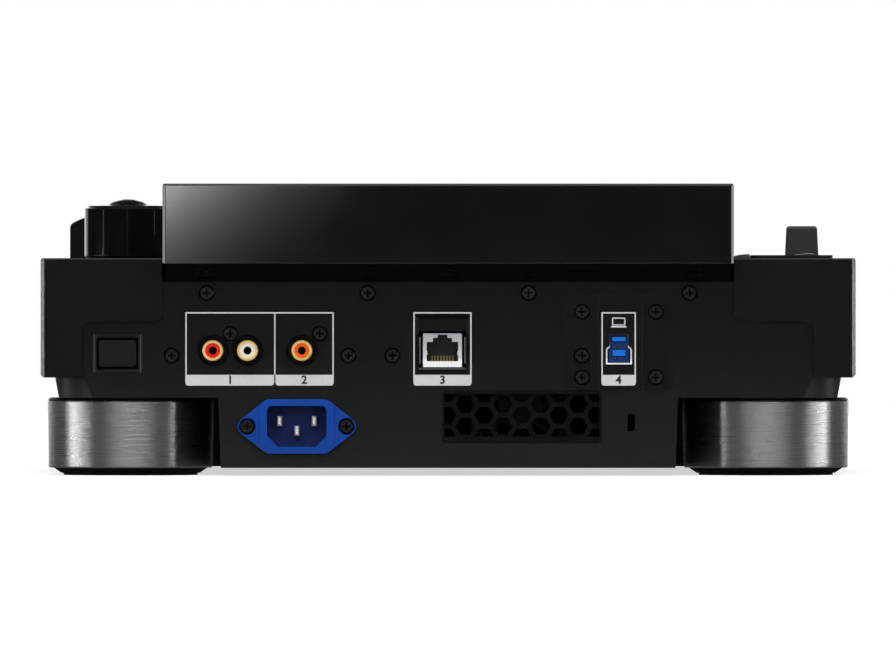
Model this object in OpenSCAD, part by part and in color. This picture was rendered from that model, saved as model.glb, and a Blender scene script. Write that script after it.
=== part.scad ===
// Tabletop DJ disc player: a deep black housing on four round metal feet, with a raised display,
// a large jog wheel, a tempo fader, and a rear panel of connectors under the display's overhang.
// +Z is up, the front faces -Y, and the origin is the centre of the footprint on the table.

/* [Housing] */
// Width of the top cover
body_w = 329; // [320:1:345]
// Depth of the top cover, front to rear
body_d = 431; // [425:1:460]
// Height of the top cover's lower edge above the table
cover_z = 39.6; // [38:0.1:42]
// Height of the flat deck above the table
deck_z = 87.8; // [86:0.1:92]
// Wall thickness of the top cover
cover_wall = 2.5; // [2:0.1:3]
// Bevel along the cover's upper edges
cover_bevel = 0.6; // [0.5:0.1:2.2]
// Bevel of the cover's upright corners
cover_corner = 1.5; // [0.8:0.1:2.2]
// How far the pan stands in from the cover on each side
pan_inset = 5.5; // [5:0.5:8]
// Radius of the pan's upright corners
pan_corner_r = 14; // [12:0.5:18]
// Height of the pan's underside beside the belly
pan_z = 31.4; // [31:0.1:32]
// Wall thickness of the pan
pan_wall = 2; // [1.6:0.1:2.4]
// Width of the belly at its floor
belly_w = 183.6; // [178:0.2:186]
// Draught of each belly side from floor to pan
belly_draft = 1; // [0.5:0.1:1.4]
// Height of the belly's underside above the table
belly_z = 3.1; // [2:0.1:4]

/* [Feet] */
// Gap between a metal foot and the belly beside it
foot_belly_gap = 3.4; // [1.5:0.1:6]
// How far a metal foot stays inside the cover's side
foot_side_gap = 1.8; // [1.5:0.1:6]
// Height of the metal cup's lower rim
foot_rim_z = 3; // [2.5:0.1:4]
// Gap between a foot's top and the pan, filled by a boss
foot_gap = 1; // [0.6:0.1:1.6]
// Wall thickness of the metal cup
foot_wall = 2.5; // [2:0.1:3]
// How far the rubber pad's floor stays inside the metal foot's radius
pad_taper = 6.5; // [5:0.1:12]

/* [Display] */
// Width of the display housing
display_w = 229.8; // [220:0.2:232]
// Overall height of the player at the display's rear edge
display_top = 117.7; // [114:0.1:122]
// How far the display stands out behind the cover
display_overhang = 22; // [16:0.5:24]
// Height of the lower edge of the display's upright rear face
display_face_z = 85.5; // [84:0.1:87]
// Height of the rear panel's upper edge, where the display's underside ends
display_seat_z = 78.2; // [77.6:0.1:79]
// Depth of the display housing from rear to front
display_d = 148.5; // [142:0.5:150]
// Wall thickness of the display housing
display_wall = 2.5; // [2:0.1:2.8]
// Width of the screen glass
glass_w = 224; // [215:0.5:226]
// Thickness of the screen glass
glass_t = 1.2; // [1:0.1:1.5]

/* [Rear panel] */
// Thickness of the rear panel
panel_t = 1.8; // [1.5:0.1:2.2]
// Height of the step under the cover's shoulders
shoulder_z = 62.1; // [61:0.1:64]
// Width of the cover's rear wall on each side of the panel
panel_side = 17.2; // [15:0.1:19.5]
// Radius of the shoulder step's corners
shoulder_r = 3; // [1:0.1:4]
// Width of the vent grille
vent_w = 64.3; // [60:0.1:64.6]
// Height of the vent grille
vent_h = 21.2; // [20.8:0.1:21.4]
// Distance across the flats of a vent hexagon
hex_flats = 6.7; // [5:0.1:7.2]
// Rib between two vent hexagons
hex_rib = 2.07; // [1.5:0.01:3]
// Radius of a panel screw's head
screw_head_r = 2.8; // [2.4:0.1:3]

/* [Connectors] */
// Outer radius of a phono barrel
barrel_r = 4.15; // [4.1:0.01:4.2]
// How far a phono barrel stands out of the panel
barrel_out = 10.5; // [9:0.1:12]
// Height of the phono jacks' axes
jack_z = 50.5; // [50:0.1:51.5]
// Distance between the right and left phono jacks
jack_pitch = 14; // [13.5:0.1:14.5]
// Distance between the mains inlet's two screws
inlet_pitch = 40; // [39:0.1:41]
// Width of the mains inlet's socket
inlet_socket_w = 24; // [23.5:0.1:24.4]
// Height of the mains inlet's socket
inlet_socket_h = 16.5; // [16:0.1:17]
// Width of the network jack's shield
lan_w = 15.6; // [15.4:0.1:16.6]
// Height of the network jack's shield
lan_h = 13.6; // [13.4:0.1:14.2]

/* [Jog wheel] */
// Radius of the jog wheel's rim
jog_r = 103; // [99:0.5:104]
// Distance of the jog wheel's axis behind the cover's front face
jog_front = 156.5; // [154:0.5:159]
// Height of the jog wheel's top above the deck
jog_rise = 15.2; // [13:0.1:18]
// Radius of the metal plate on the wheel
jog_plate_r = 89; // [84:0.5:91]
// Radius of the fixed round display in the middle
jog_screen_r = 27.4; // [26.6:0.1:30]
// Radius of the hollow spindle that carries the wheel
spindle_r = 20; // [18:0.5:22]
// Number of finger dimples around the rim
dimple_count = 30; // [20:1:32]
// Radius of a finger dimple
dimple_r = 8; // [6:0.5:9]

/* [Controls] */
// Height of a key's top above the deck
key_rise = 1; // [0.8:0.1:1.1]
// Travel of a key
key_travel = 0.8; // [0.5:0.1:0.8]
// Gap between a key and its hole in the deck
key_gap = 0.3; // [0.2:0.05:0.5]
// Width of a hot cue key
cue_key_w = 21; // [17:0.5:22]
// Distance between neighbouring hot cue keys
cue_key_pitch = 25.6; // [25:0.1:28]
// Radius of the play key
play_r = 17; // [14:0.5:18]
// Radius of the cue key
cue_r = 14; // [12:0.5:15]
// Distance of the selector knob's axis from the cover's side
selector_side = 32.1; // [29:0.1:36]
// Radius of the selector knob
selector_r = 17.9; // [15:0.1:18]
// Height of the selector knob's rim above the table
selector_top = 110.5; // [105:0.1:112]
// Distance of the tempo fader from the cover's side
tempo_side = 18.5; // [18.5:0.5:24]
// Travel of the tempo fader, end to end
tempo_travel = 100; // [60:1:100]
// Width of the tempo fader's cap
tempo_cap_w = 30; // [24:0.5:32]
// Distance of the direction lever from the cover's side
lever_side = 15.75; // [14.5:0.25:22]
// Height of the direction lever's tip above the table
lever_top = 102.5; // [98:0.1:104]
// Width of the direction lever at its tip
lever_tip_w = 12.9; // [9:0.1:13]
// Width of the direction lever at the deck
lever_foot_w = 14.9; // [13.2:0.1:15]

/* [Disc drive] */
// Width of the disc slot
slot_w = 124; // [122:0.5:130]
// Height of the disc slot
slot_h = 5.4; // [5:0.1:6]
// Height of the disc slot's middle above the table
slot_z = 65; // [64:0.5:66]

/* [Hidden] */
$fn = 64;
eps = 0.01;

// Places along the depth
front_y = -(body_d + display_overhang) / 2;
body_rear_y = front_y + body_d;
display_rear_y = body_rear_y + display_overhang;
panel_y = body_rear_y - cover_wall;
panel_in_y = panel_y - panel_t;
body_mid_y = (front_y + body_rear_y) / 2;

// Levels
deck_under = deck_z - cover_wall;
pan_deck_z = pan_z + pan_wall;
belly_floor_z = belly_z + pan_wall;
board_top_z = 43.8;
board_t = 1.6;
control_top_z = 79.6;

// Places across the width and along the depth keep their share of the drawn housing's size
drawn_w = 329;
drawn_d = 431;
function across(x) = x * body_w / drawn_w;

// Pan outline
pan_w = body_w - 2 * pan_inset;
pan_front_y = front_y + pan_inset;
pan_d = panel_y - pan_front_y;
pan_mid_y = (panel_y + pan_front_y) / 2;
pan_shoulder = 1.8;
pan_side_wall = pan_shoulder + 0.2 + pan_wall;
tongue_top_z = cover_z + 6;

// Feet
foot_top_z = pan_z - foot_gap;
foot_room = (body_w - belly_w) / 2 - foot_belly_gap - foot_side_gap;
foot_r = foot_room / 2;
foot_x = body_w / 2 - foot_side_gap - foot_r;
pad_floor_r = foot_r - pad_taper;
foot_rear_y = panel_y - foot_r - 2.2;
foot_front_y = front_y + foot_r + 11;
foot_screw_r = 2;
belly_step = 5;
belly_step_y = [foot_front_y + foot_r + 4, foot_rear_y - foot_r - 4];
foot_places = [for (sx = [-1, 1], fy = [foot_front_y, foot_rear_y]) [sx * foot_x, fy]];

// Display
bay_gap = 0.5;
bay_w = display_w + 2 * bay_gap;
plug_side_gap = 1.6;
plug_w = bay_w - 2 * plug_side_gap;
display_front_y = display_rear_y - display_d;
display_lip = 3.2;
display_lap = 6;
display_slope = atan2(display_top - deck_z - display_lip, display_d - 4);
slope_length = (display_d - 4) / cos(display_slope);
glass_margin = 4;
glass_d = slope_length - 2 * glass_margin;
screen_w = glass_w - 18;
screen_d = glass_d - 18;
screen_t = 4;
screw_places_display = [for (i = [-1 : 1]) i * (display_w / 2 - 15.3)];

// Rear panel
panel_w = body_w - 2 * panel_side;
panel_recess = 0.8;
screw_shank_r = 1.5;
screw_length = 6;
vent_x = across(-29.75);
vent_z = 23.8;
vent_depth = 3.8;
vent_plate_t = 1.4;
vent_side = 0.9;
vent_floor = 2.6;
vent_roof = 1.5;
vent_corner_r = 1.6;
vent_rise = 0.35;
lock_x = across(-73.9);
lock_z = 21.5;
top_screw_z = display_seat_z - 4.5;
panel_screw_z = 48.4;
panel_screw_places = concat(
  [for (i = [-1.5 : 1.5]) [across(i * 65), top_screw_z]],
  [for (x = [111.6, 40.3, 22.5]) [across(x), panel_screw_z]]
);

// USB plate
usb_x = across(-68.55);
usb_z = 53.85;
usb_plate_w = 43.9;
usb_plate_h = 38.5;
usb_plate_t = 1.5;
usb_channel_w = 17.6;
usb_channel_x = usb_x - 0.95;
usb_fold = 0.7;
usb_well_r = 3.7;
usb_screw_rows = [usb_z + 12.25, usb_z - 14.15];
usb_screw_x = [usb_x + 14.55, usb_x - 15.25];
usb_extra_z = panel_screw_z;
usb_screw_places = concat([for (x = usb_screw_x, z = usb_screw_rows) [x, z]], [[usb_screw_x[0], usb_extra_z]]);
usb_port_x = usb_x - 0.4;
usb_port_z = 50.8;
usb_shell_t = 0.6;

// Phono jacks
jack_left_x = across(80.9);
jack_right_x = jack_left_x + jack_pitch;
jack_digital_x = across(59);
jack_places = [jack_left_x, jack_right_x, jack_digital_x];
jack_screw_places = [for (x = [jack_left_x, jack_digital_x - jack_pitch - 0.2]) [x + 7.1, jack_z + 6.8]];
jack_ring_r = 5.75;
jack_hole_r = 6.4;
barrel_wall = 1.05;
jack_ring_rise = 1.2;
barrel_root = jack_ring_rise + 0.05;
neck_r = barrel_r - 0.25;
insert_gap = 0.05;

// Network jack
lan_x = across(2.3);
lan_z = board_top_z + lan_h / 2;
lan_depth = 18;
lan_gap = 1.8;
lan_spring_out = 1.44;
lan_recess_z = lan_z + 2.25;

// Mains inlet
inlet_x = across(61.1);
inlet_z = 19.9;
inlet_flange_t = 2.6;
inlet_flange_h = 22;
inlet_ear_r = 3.85;
inlet_seat_r = 3.45;
inlet_seat_d = 0.9;
inlet_body_w = 29.9;
inlet_body_h = 20.4;
inlet_body_bevel = 3.2;
inlet_raise = 1.2;
inlet_pin_places = [[inlet_x - 7, inlet_z + 2.1], [inlet_x + 7, inlet_z + 2.1], [inlet_x, inlet_z - 1.8]];

// Power switch
switch_x = panel_w / 2 - 13.8;
switch_z = 49.35;
switch_w = 14.9;
switch_h = 10.4;
switch_depth = 12;
switch_rise = 1.4;
switch_cap_d = 9;
switch_travel = 0.6;
guard_w = 20.5;
guard_h = 15.3;

// Jog wheel
jog_y = front_y + jog_front;
jog_top_z = deck_z + jog_rise;
jog_under_z = deck_z + 1;
jog_plate_t = 3.6;
jog_web_z = jog_top_z - jog_plate_t - 0.4;
jog_web_t = 3;
jog_hole_r = 60;
run_gap = 0.05;

// Row of controls between the tempo fader and the display
tempo_x = body_w / 2 - tempo_side;
tempo_y = front_y + tempo_travel / 2 + 41.5;
side_row_y = tempo_y + tempo_travel / 2 + 18;
side_row_d = display_front_y - side_row_y;
side_row_shares = [12, 47, 81] / 145;

// Keys
switch_top_z = control_top_z + 1.6;
key_flange = 1.5;
key_flange_t = 1.2;
hot_y = display_front_y - 17;
key_d = 11;
key_corner = 2;
play_x = across(-134);
play_y = front_y + 36;
cue_y = play_y + play_r + cue_r + 13;
small_w = 16;
loop_in_x = across(-150);
loop_out_x = across(-128);
loop_y = hot_y;
sync_x = across(147);
master_x = across(124);
reset_y = side_row_y + side_row_shares[0] * side_row_d;
sync_y = side_row_y + side_row_shares[1] * side_row_d;
eject_x = across(137);
eject_y = front_y + 17;

// Selector and small knobs
selector_x = body_w / 2 - selector_side;
selector_y = display_front_y - selector_r - 3.1;
selector_base_z = deck_z + 1.1;
selector_push = 0.8;
shaft_r = 3;
encoder_h = 7;
dome_r = 8.3;
dome_rise = 2.4;
dome_ball_r = (dome_r * dome_r + dome_rise * dome_rise) / 2 / dome_rise;
knob_r = 6.5;
knob_rise = 9;
jog_adjust_x = across(144);
vinyl_speed_x = across(121);
knob_y = side_row_y + side_row_shares[2] * side_row_d;

// Tempo fader
tempo_slot_w = 3.4;
tempo_lever_t = 1.2;
tempo_lever_d = 8;
tempo_cap_d = 18;
tempo_cap_z = deck_z + 0.8;
tempo_cap_top = 108;
track_w = 12;
track_z = 73;
track_top = 82;
track_clear = tempo_y + tempo_travel / 2 + 20 - jog_y;

// Direction lever
lever_x = lever_side - body_w / 2;
lever_y = jog_y + 18;
drum_r = 9.5;
drum_z = deck_z - 7.5;
lever_pin_r = 1.5;
lever_swing = 15;
ear_t = 2.4;

// Media port
media_strip = (body_w - display_w) / 2;
media_gap = media_strip * 0.157;
media_side_gap = media_strip * 0.18;
media_w = media_strip - media_gap - media_side_gap;
media_x = media_side_gap + media_w / 2 - body_w / 2;
media_d = 62;
media_y = body_rear_y - 13 - media_d / 2;

// Disc drive
drive_w = slot_w + 22;
drive_front_y = front_y + cover_wall + 0.3;
drive_d = slot_w + 10;
drive_wall = 1.6;
drive_z = slot_z - 13;
drive_h = 20;
disc_y = front_y + slot_w / 2 + 9;
turntable_r = 14.5;

// Fan
fan_size = 40;
fan_t = 12;
fan_x = vent_x + 0.5;
fan_z = 27.5;
fan_y = panel_y - vent_depth - vent_plate_t;
fan_bore_r = 18.6;
fan_hub_r = 9;

// ---- Shared shapes ----

// Rectangle with round corners, centred
module rounded_rect(w, d, r) {
  square([w - 2 * r, d], center = true);
  square([w, d - 2 * r], center = true);
  for (sx = [-1, 1], sy = [-1, 1])
    translate([sx * (w / 2 - r), sy * (d / 2 - r)]) circle(r);
}

// Plate with round upright corners, standing on z = 0
module rounded_plate(w, d, h, r) {
  linear_extrude(h) rounded_rect(w, d, r);
}

// Extrudes an (x, z) outline forwards from the plane y = y1 by t
module slab_y(y1, t) {
  translate([0, y1, 0]) rotate([90, 0, 0]) linear_extrude(t) children();
}

// Extrudes a (y, z) outline across the width w, centred
module slab_x(w) {
  translate([-w / 2, 0, 0]) rotate([90, 0, 90]) linear_extrude(w) children();
}

// Cylinder along Y from y1 forwards by t
module rod_y(x, z, y1, r, t) {
  translate([x, y1, z]) rotate([90, 0, 0]) cylinder(r = r, h = t);
}

// Cross recess of a screw head, cut from z = 0 downwards
module cross_recess(size) {
  for (a = [0, 90])
    rotate(a) cube([size, size / 4, 1.6], center = true);
}

// Cross-head screw with its head's top at z = 0 and its shank pointing down
module screw(head_r, head_h, shank_r, length) {
  difference() {
    union() {
      translate([0, 0, -head_h]) cylinder(r = head_r, h = head_h - 0.4);
      translate([0, 0, -0.4]) cylinder(r1 = head_r, r2 = head_r - 0.4, h = 0.4);
      translate([0, 0, -head_h - length]) cylinder(r = shank_r, h = length + eps);
    }
    cross_recess(head_r * 1.2);
  }
}

// Screw in the rear panel, its head's top at y = y1
module screw_y(x, z, y1) {
  translate([x, y1, z]) rotate([-90, 0, 0]) screw(screw_head_r, 1.4, screw_shank_r, screw_length);
}

// ---- Housing ----

// Outline (x, z) of the opening in the cover's rear wall
module panel_opening(gap) {
  difference() {
    union() {
      translate([-panel_w / 2 - gap, 0]) square([panel_w + 2 * gap, shoulder_z + gap - shoulder_r]);
      translate([-panel_w / 2 + shoulder_r, 0]) square([panel_w - 2 * shoulder_r, shoulder_z + gap]);
      for (sx = [-1, 1])
        translate([sx * (panel_w / 2 + gap - shoulder_r), shoulder_z + gap - shoulder_r]) circle(shoulder_r);
      translate([-bay_w / 2, 0]) square([bay_w, display_top]);
      for (sx = [-1, 1])
        translate([sx * (bay_w / 2 + shoulder_r / 2), shoulder_z + shoulder_r / 2 - eps])
          square([shoulder_r + 2 * eps, shoulder_r], center = true);
    }
    for (sx = [-1, 1])
      translate([sx * (bay_w / 2 + shoulder_r), shoulder_z + gap + shoulder_r]) circle(shoulder_r);
  }
}

// Rectangle with bevelled corners, centred
module bevelled_rect(w, d, bevel) {
  polygon([
    [w / 2 - bevel, -d / 2], [w / 2, bevel - d / 2], [w / 2, d / 2 - bevel], [w / 2 - bevel, d / 2],
    [bevel - w / 2, d / 2], [-w / 2, d / 2 - bevel], [-w / 2, bevel - d / 2], [bevel - w / 2, -d / 2]
  ]);
}

// Solid form of the cover, with bevelled upright corners and long edges
module cover_form() {
  low_bevel = 1.2;
  intersection() {
    translate([0, body_mid_y, cover_z]) linear_extrude(deck_z - cover_z)
      bevelled_rect(body_w, body_d, cover_corner);
    slab_y(body_rear_y, body_d) polygon([
      [-body_w / 2, cover_z + low_bevel], [low_bevel - body_w / 2, cover_z], [body_w / 2 - low_bevel, cover_z],
      [body_w / 2, cover_z + low_bevel], [body_w / 2, deck_z - cover_bevel],
      [body_w / 2 - cover_bevel, deck_z], [-body_w / 2 + cover_bevel, deck_z],
      [-body_w / 2, deck_z - cover_bevel]
    ]);
    slab_x(body_w) polygon([
      [front_y, cover_z], [body_rear_y, cover_z], [body_rear_y, deck_z - cover_bevel],
      [body_rear_y - cover_bevel, deck_z], [front_y + 2 * cover_bevel, deck_z],
      [front_y, deck_z - 2 * cover_bevel]
    ]);
  }
}

// Inside of the cover, above its lower flange
module cover_cavity() {
  translate([0, body_mid_y, cover_z + cover_wall])
    rounded_plate(body_w - 2 * cover_wall, body_d - 2 * cover_wall, deck_under - cover_z - cover_wall, 1);
  translate([0, pan_mid_y, cover_z - 1])
    rounded_plate(pan_w - 2 * pan_shoulder, pan_d - 2 * pan_shoulder, cover_wall + 2, pan_corner_r - pan_shoulder);
}

// Ledges at the sides of the display bay, on which the display housing stands
module bay_ledges() {
  ledge_y = display_front_y + 14;
  ledge_d = panel_in_y - ledge_y - 2;
  for (sx = [-1, 1]) {
    translate([sx * (bay_w / 2 + cover_wall / 2), ledge_y + ledge_d / 2, (display_seat_z - 3 + deck_under) / 2])
      cube([cover_wall, ledge_d, deck_under - display_seat_z + 3 + 2 * eps], center = true);
    translate([sx * (bay_w / 2 - 2.5), ledge_y + ledge_d / 2, display_seat_z - 1.5])
      cube([5 + 2 * eps, ledge_d, 3], center = true);
  }
}

// Ears under the deck that hold the direction lever's pin
module lever_ears() {
  for (sx = [-1, 1])
    translate([lever_x + sx * (lever_foot_w / 2 + 0.6 + ear_t / 2), lever_y, (drum_z - 3 + deck_under) / 2])
      cube([ear_t, 8, deck_under - drum_z + 3 + 2 * eps], center = true);
}

// Posts under the deck that carry the control board
module control_posts() {
  for (sx = [-1, 1], py = [hot_y + 8, jog_y + 40, jog_y - 40])
    translate([sx * (jog_r + 9), py, control_top_z]) cylinder(r = 2.5, h = deck_under - control_top_z + eps);
}

// Raised rims around the play and cue keys, and the crown beside the display
module deck_details() {
  for (p = [[play_y, play_r], [cue_y, cue_r]])
    translate([play_x, p[0], deck_z - eps]) difference() {
      cylinder(r1 = p[1] + 4, r2 = p[1] + 3, h = key_rise);
      translate([0, 0, -1]) cylinder(r = p[1] + key_gap, h = key_rise + 2);
    }
  crown_w = 6.4;
  crown_top = deck_z + 1.65;
  slab_y(body_rear_y - 8, 70) polygon([
    [-bay_w / 2, deck_z - 1], [-bay_w / 2, crown_top - 0.9], [-bay_w / 2 - 1.6, crown_top - 0.4],
    [-bay_w / 2 - 3.6, crown_top - 0.1], [-bay_w / 2 - crown_w, crown_top], [-bay_w / 2 - crown_w, deck_z - 1]
  ]);
}

// Holes for every key, knob and lever
module deck_holes() {
  for (i = [0 : 7])
    key_hole(hot_x(i), hot_y, cue_key_w, key_d);
  key_hole(loop_in_x, loop_y, small_w, key_d);
  key_hole(loop_out_x, loop_y, small_w, key_d);
  key_hole(sync_x, sync_y, small_w, key_d);
  key_hole(master_x, sync_y, small_w, key_d);
  key_hole(tempo_x, reset_y, small_w, key_d - 3);
  key_hole(eject_x, eject_y, small_w, key_d - 3);
  round_hole(play_x, play_y, play_r + key_gap);
  round_hole(play_x, cue_y, cue_r + key_gap);
  round_hole(selector_x, selector_y, shaft_r + 1);
  round_hole(jog_adjust_x, knob_y, shaft_r + 0.5);
  round_hole(vinyl_speed_x, knob_y, shaft_r + 0.5);
  round_hole(0, jog_y, jog_hole_r);
  translate([tempo_x, tempo_y, deck_under - 1])
    rounded_plate(tempo_slot_w, tempo_travel + tempo_lever_d + 2, cover_wall + 2, tempo_slot_w / 2 - eps);
  translate([lever_x, lever_y, deck_z])
    cube([lever_foot_w + 0.8, 2 * drum_r + 0.8, 2 * cover_wall + 2], center = true);
  translate([media_x, media_y, deck_under - 1])
    rounded_plate(media_w - 6, media_d - 6, cover_wall + 2, 2);
}

module round_hole(x, y, r) {
  translate([x, y, deck_under - 1]) cylinder(r = r, h = cover_wall + 4);
}

module key_hole(x, y, w, d) {
  translate([x, y, deck_under - 1])
    rounded_plate(w + 2 * key_gap, d + 2 * key_gap, cover_wall + 2, key_corner + key_gap);
}

// Disc slot in the front wall, flared outwards
module disc_slot() {
  slab_y(front_y + cover_wall + 1, cover_wall + 2)
    translate([0, slot_z]) rounded_rect(slot_w, slot_h, slot_h / 2 - eps);
  translate([0, front_y, slot_z]) rotate([0, 90, 0])
    cylinder(r = slot_h / 2 + 1.2, h = slot_w - slot_h, center = true, $fn = 4);
}

module top_cover() {
  color("#1b1b1b") difference() {
    union() {
      difference() {
        cover_form();
        cover_cavity();
      }
      bay_ledges();
      lever_ears();
      control_posts();
      deck_details();
    }
    slab_y(body_rear_y + 1, cover_wall + panel_t + 4) panel_opening(0);
    translate([-bay_w / 2, display_front_y + display_lap - 0.3, deck_under - 1])
      cube([bay_w, body_d, cover_wall + 6]);
    deck_holes();
    disc_slot();
    translate([lever_x, lever_y, drum_z]) rotate([0, 90, 0])
      cylinder(r = lever_pin_r + run_gap, h = 40, center = true);
    power_window(cover_wall + panel_t);
  }
}

// Outline (x, z) of the rear panel: it laps behind the cover's rear wall and ends flush in the pan
module panel_outline() {
  slant = 4;
  lap = 2;
  lap_z = cover_z + cover_wall + 1.5;
  half = [
    [belly_w / 2, belly_z], [belly_w / 2 + belly_draft, pan_z], [panel_w / 2 - slant, pan_z],
    [panel_w / 2, cover_z], [panel_w / 2, lap_z], [panel_w / 2 + lap, lap_z],
    [panel_w / 2 + lap, shoulder_z + lap], [bay_w / 2 + lap, shoulder_z + lap],
    [bay_w / 2 + lap, display_seat_z]
  ];
  mirrored = [for (i = [len(half) - 1 : -1 : 0]) [-half[i][0], half[i][1]]];
  polygon(concat(half, mirrored));
}

// Window for the power switch's guard
module power_window(depth) {
  slab_y(panel_y + cover_wall + 1, depth + 2)
    translate([switch_x, switch_z]) rounded_rect(guard_w + 0.2, guard_h + 0.2, 1);
}

// Bevelled recess round the network jack
module lan_recess() {
  wide = 22.4;
  tall = 24;
  bevel = 1.7;
  over = 1;
  depth = 1.2;
  intersection() {
    translate([lan_x, 0, lan_recess_z - tall]) linear_extrude(2 * tall) polygon([
      [-wide / 2, panel_y + over], [-wide / 2, panel_y], [bevel - wide / 2, panel_y - depth],
      [wide / 2 - bevel, panel_y - depth], [wide / 2, panel_y], [wide / 2, panel_y + over]
    ]);
    translate([lan_x, 0, lan_recess_z]) slab_x(2 * wide) polygon([
      [panel_y + over, -tall / 2], [panel_y, -tall / 2], [panel_y - depth, bevel - tall / 2],
      [panel_y - depth, tall / 2 - bevel], [panel_y, tall / 2], [panel_y + over, tall / 2]
    ]);
  }
}

module rear_panel() {
  color("#161616") difference() {
    slab_y(panel_y, panel_t) panel_outline();
    for (p = concat(panel_screw_places, jack_screw_places)) {
      rod_y(p[0], p[1], panel_y + 1, screw_shank_r + 0.2, panel_t + 2);
      rod_y(p[0], p[1], panel_y + 1, screw_head_r + 0.45, panel_recess + 1);
    }
    for (x = jack_places)
      rod_y(x, jack_z, panel_y + 1, jack_hole_r, panel_t + 2);
    slab_y(panel_y + 1, panel_t + 2) {
      translate([lan_x, lan_z]) square([lan_w + 2 * lan_gap, lan_h + lan_gap], center = true);
      translate([usb_x, usb_z]) square([usb_plate_w - 18, usb_plate_h - 6], center = true);
      translate([inlet_x, inlet_z]) bevelled_rect(inlet_body_w + 0.4, inlet_body_h + 0.4, inlet_body_bevel);
      translate([vent_x, vent_z]) rounded_rect(vent_w + 0.1, vent_h + 0.1, vent_corner_r);
      translate([lock_x, lock_z]) rounded_rect(3, 7, 0.8);
    }
    lan_recess();
    for (p = usb_screw_places)
      rod_y(p[0], p[1], panel_y + 1, screw_shank_r + 0.2, panel_t + 2);
    for (sx = [-1, 1])
      rod_y(inlet_x + sx * inlet_pitch / 2, inlet_z, panel_y + 1, screw_shank_r + 0.2, panel_t + 2);
    power_window(cover_wall + panel_t);
  }
}

// Trough of the pan: wide deck, tapered sides, and the deeper belly between the feet
module pan_form(inset, floor_lift) {
  top_z = cover_z + (inset > 0 ? 10 : 0);
  side_draft = 1.7;
  intersection() {
    translate([0, pan_mid_y, pan_z + floor_lift])
      rounded_plate(pan_w - 2 * inset, pan_d - 2 * inset, top_z - pan_z - floor_lift, pan_corner_r - inset);
    slab_y(panel_y, pan_d) polygon([
      [-pan_w / 2 + side_draft, pan_z], [pan_w / 2 - side_draft, pan_z],
      [pan_w / 2, cover_z], [pan_w / 2, cover_z + 20], [-pan_w / 2, cover_z + 20], [-pan_w / 2, cover_z]
    ]);
  }
}

module belly_form(inset, floor_lift, rear_open) {
  nose = 34;
  belly_front_y = front_y + 30;
  half = belly_w / 2 - inset;
  top_z = pan_z + floor_lift + 1;
  intersection() {
    slab_y(panel_y + rear_open, body_d) polygon([
      [-half, belly_z + floor_lift], [half, belly_z + floor_lift],
      [half + belly_draft, top_z], [-half - belly_draft, top_z]
    ]);
    slab_x(belly_w + 20) polygon([
      [belly_front_y + nose + inset / 2, belly_z + floor_lift], [panel_y + rear_open, belly_z + floor_lift],
      [panel_y + rear_open, top_z], [belly_front_y + inset, top_z]
    ]);
  }
}

// Thicker belly sides between the front and rear feet
module belly_steps() {
  step_d = belly_step_y[1] - belly_step_y[0];
  for (sx = [-1, 1])
    translate([sx * (belly_w / 2 + belly_step / 2 - 0.5), belly_step_y[0] + step_d / 2, (belly_z + pan_z + 1) / 2])
      cube([belly_step + 1, step_d, pan_z + 1 - belly_z], center = true);
}

module bottom_pan() {
  color("#242424") difference() {
    union() {
      difference() {
        union() {
          pan_form(0, 0);
          belly_form(0, 0, 0);
          belly_steps();
          translate([0, pan_mid_y, cover_z - eps])
            rounded_plate(
              pan_w - 2 * pan_shoulder - 0.4, pan_d - 2 * pan_shoulder - 0.4, tongue_top_z - cover_z + eps,
              pan_corner_r - pan_shoulder - 0.2
            );
        }
        pan_form(pan_side_wall, pan_wall);
        belly_form(pan_wall, pan_wall, 1);
      }
      board_posts();
      supply_posts();
      for (p = foot_places)
        translate([p[0], p[1], foot_top_z])
          cylinder(r1 = foot_r - 0.1, r2 = foot_r - 1.2, h = foot_gap + eps);
    }
    for (p = foot_places)
      translate([p[0], p[1], foot_top_z - 1]) cylinder(r = foot_screw_r + 0.3, h = 20);
    slab_y(panel_y + 1, panel_t + 1) panel_outline();
    slab_y(panel_y + 1, pan_side_wall + 2)
      pan_window();
    translate([vent_x, fan_y - fan_t / 2 + 6, pan_z + 2])
      cube([vent_w + 6, fan_t + 16, 8], center = true);
    for (i = [-6 : 6])
      translate([inlet_x - 8 + i * 5, panel_y - 90, belly_z]) rounded_slot(2.4, 36, 6);
  }
}

// Window (x, z) through the pan's rear wall, closed by the rear panel
module pan_window() {
  translate([-panel_w / 2 + 5, pan_deck_z - eps]) square([panel_w - 10, cover_z - pan_deck_z + 1]);
  translate([-panel_w / 2, cover_z]) square([panel_w, 20]);
}

module rounded_slot(w, d, h) {
  translate([0, 0, -h / 2]) rounded_plate(w, d, h, w / 2 - eps);
}

// Posts on the pan's deck that carry the main board
module board_posts() {
  for (sx = [-1, 1], py = [panel_y - 118, panel_y - 12])
    translate([sx * across(112), py, pan_deck_z - eps])
      cylinder(r = 3, h = board_top_z - board_t - pan_deck_z + eps);
}

// Posts on the belly's floor that carry the power supply
module supply_posts() {
  for (dx = [-27, 27], py = [panel_y - 136, panel_y - 36])
    translate([48 + dx, py, belly_floor_z - eps]) cylinder(r = 2.5, h = 4 + eps);
}

// ---- Feet ----

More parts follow.
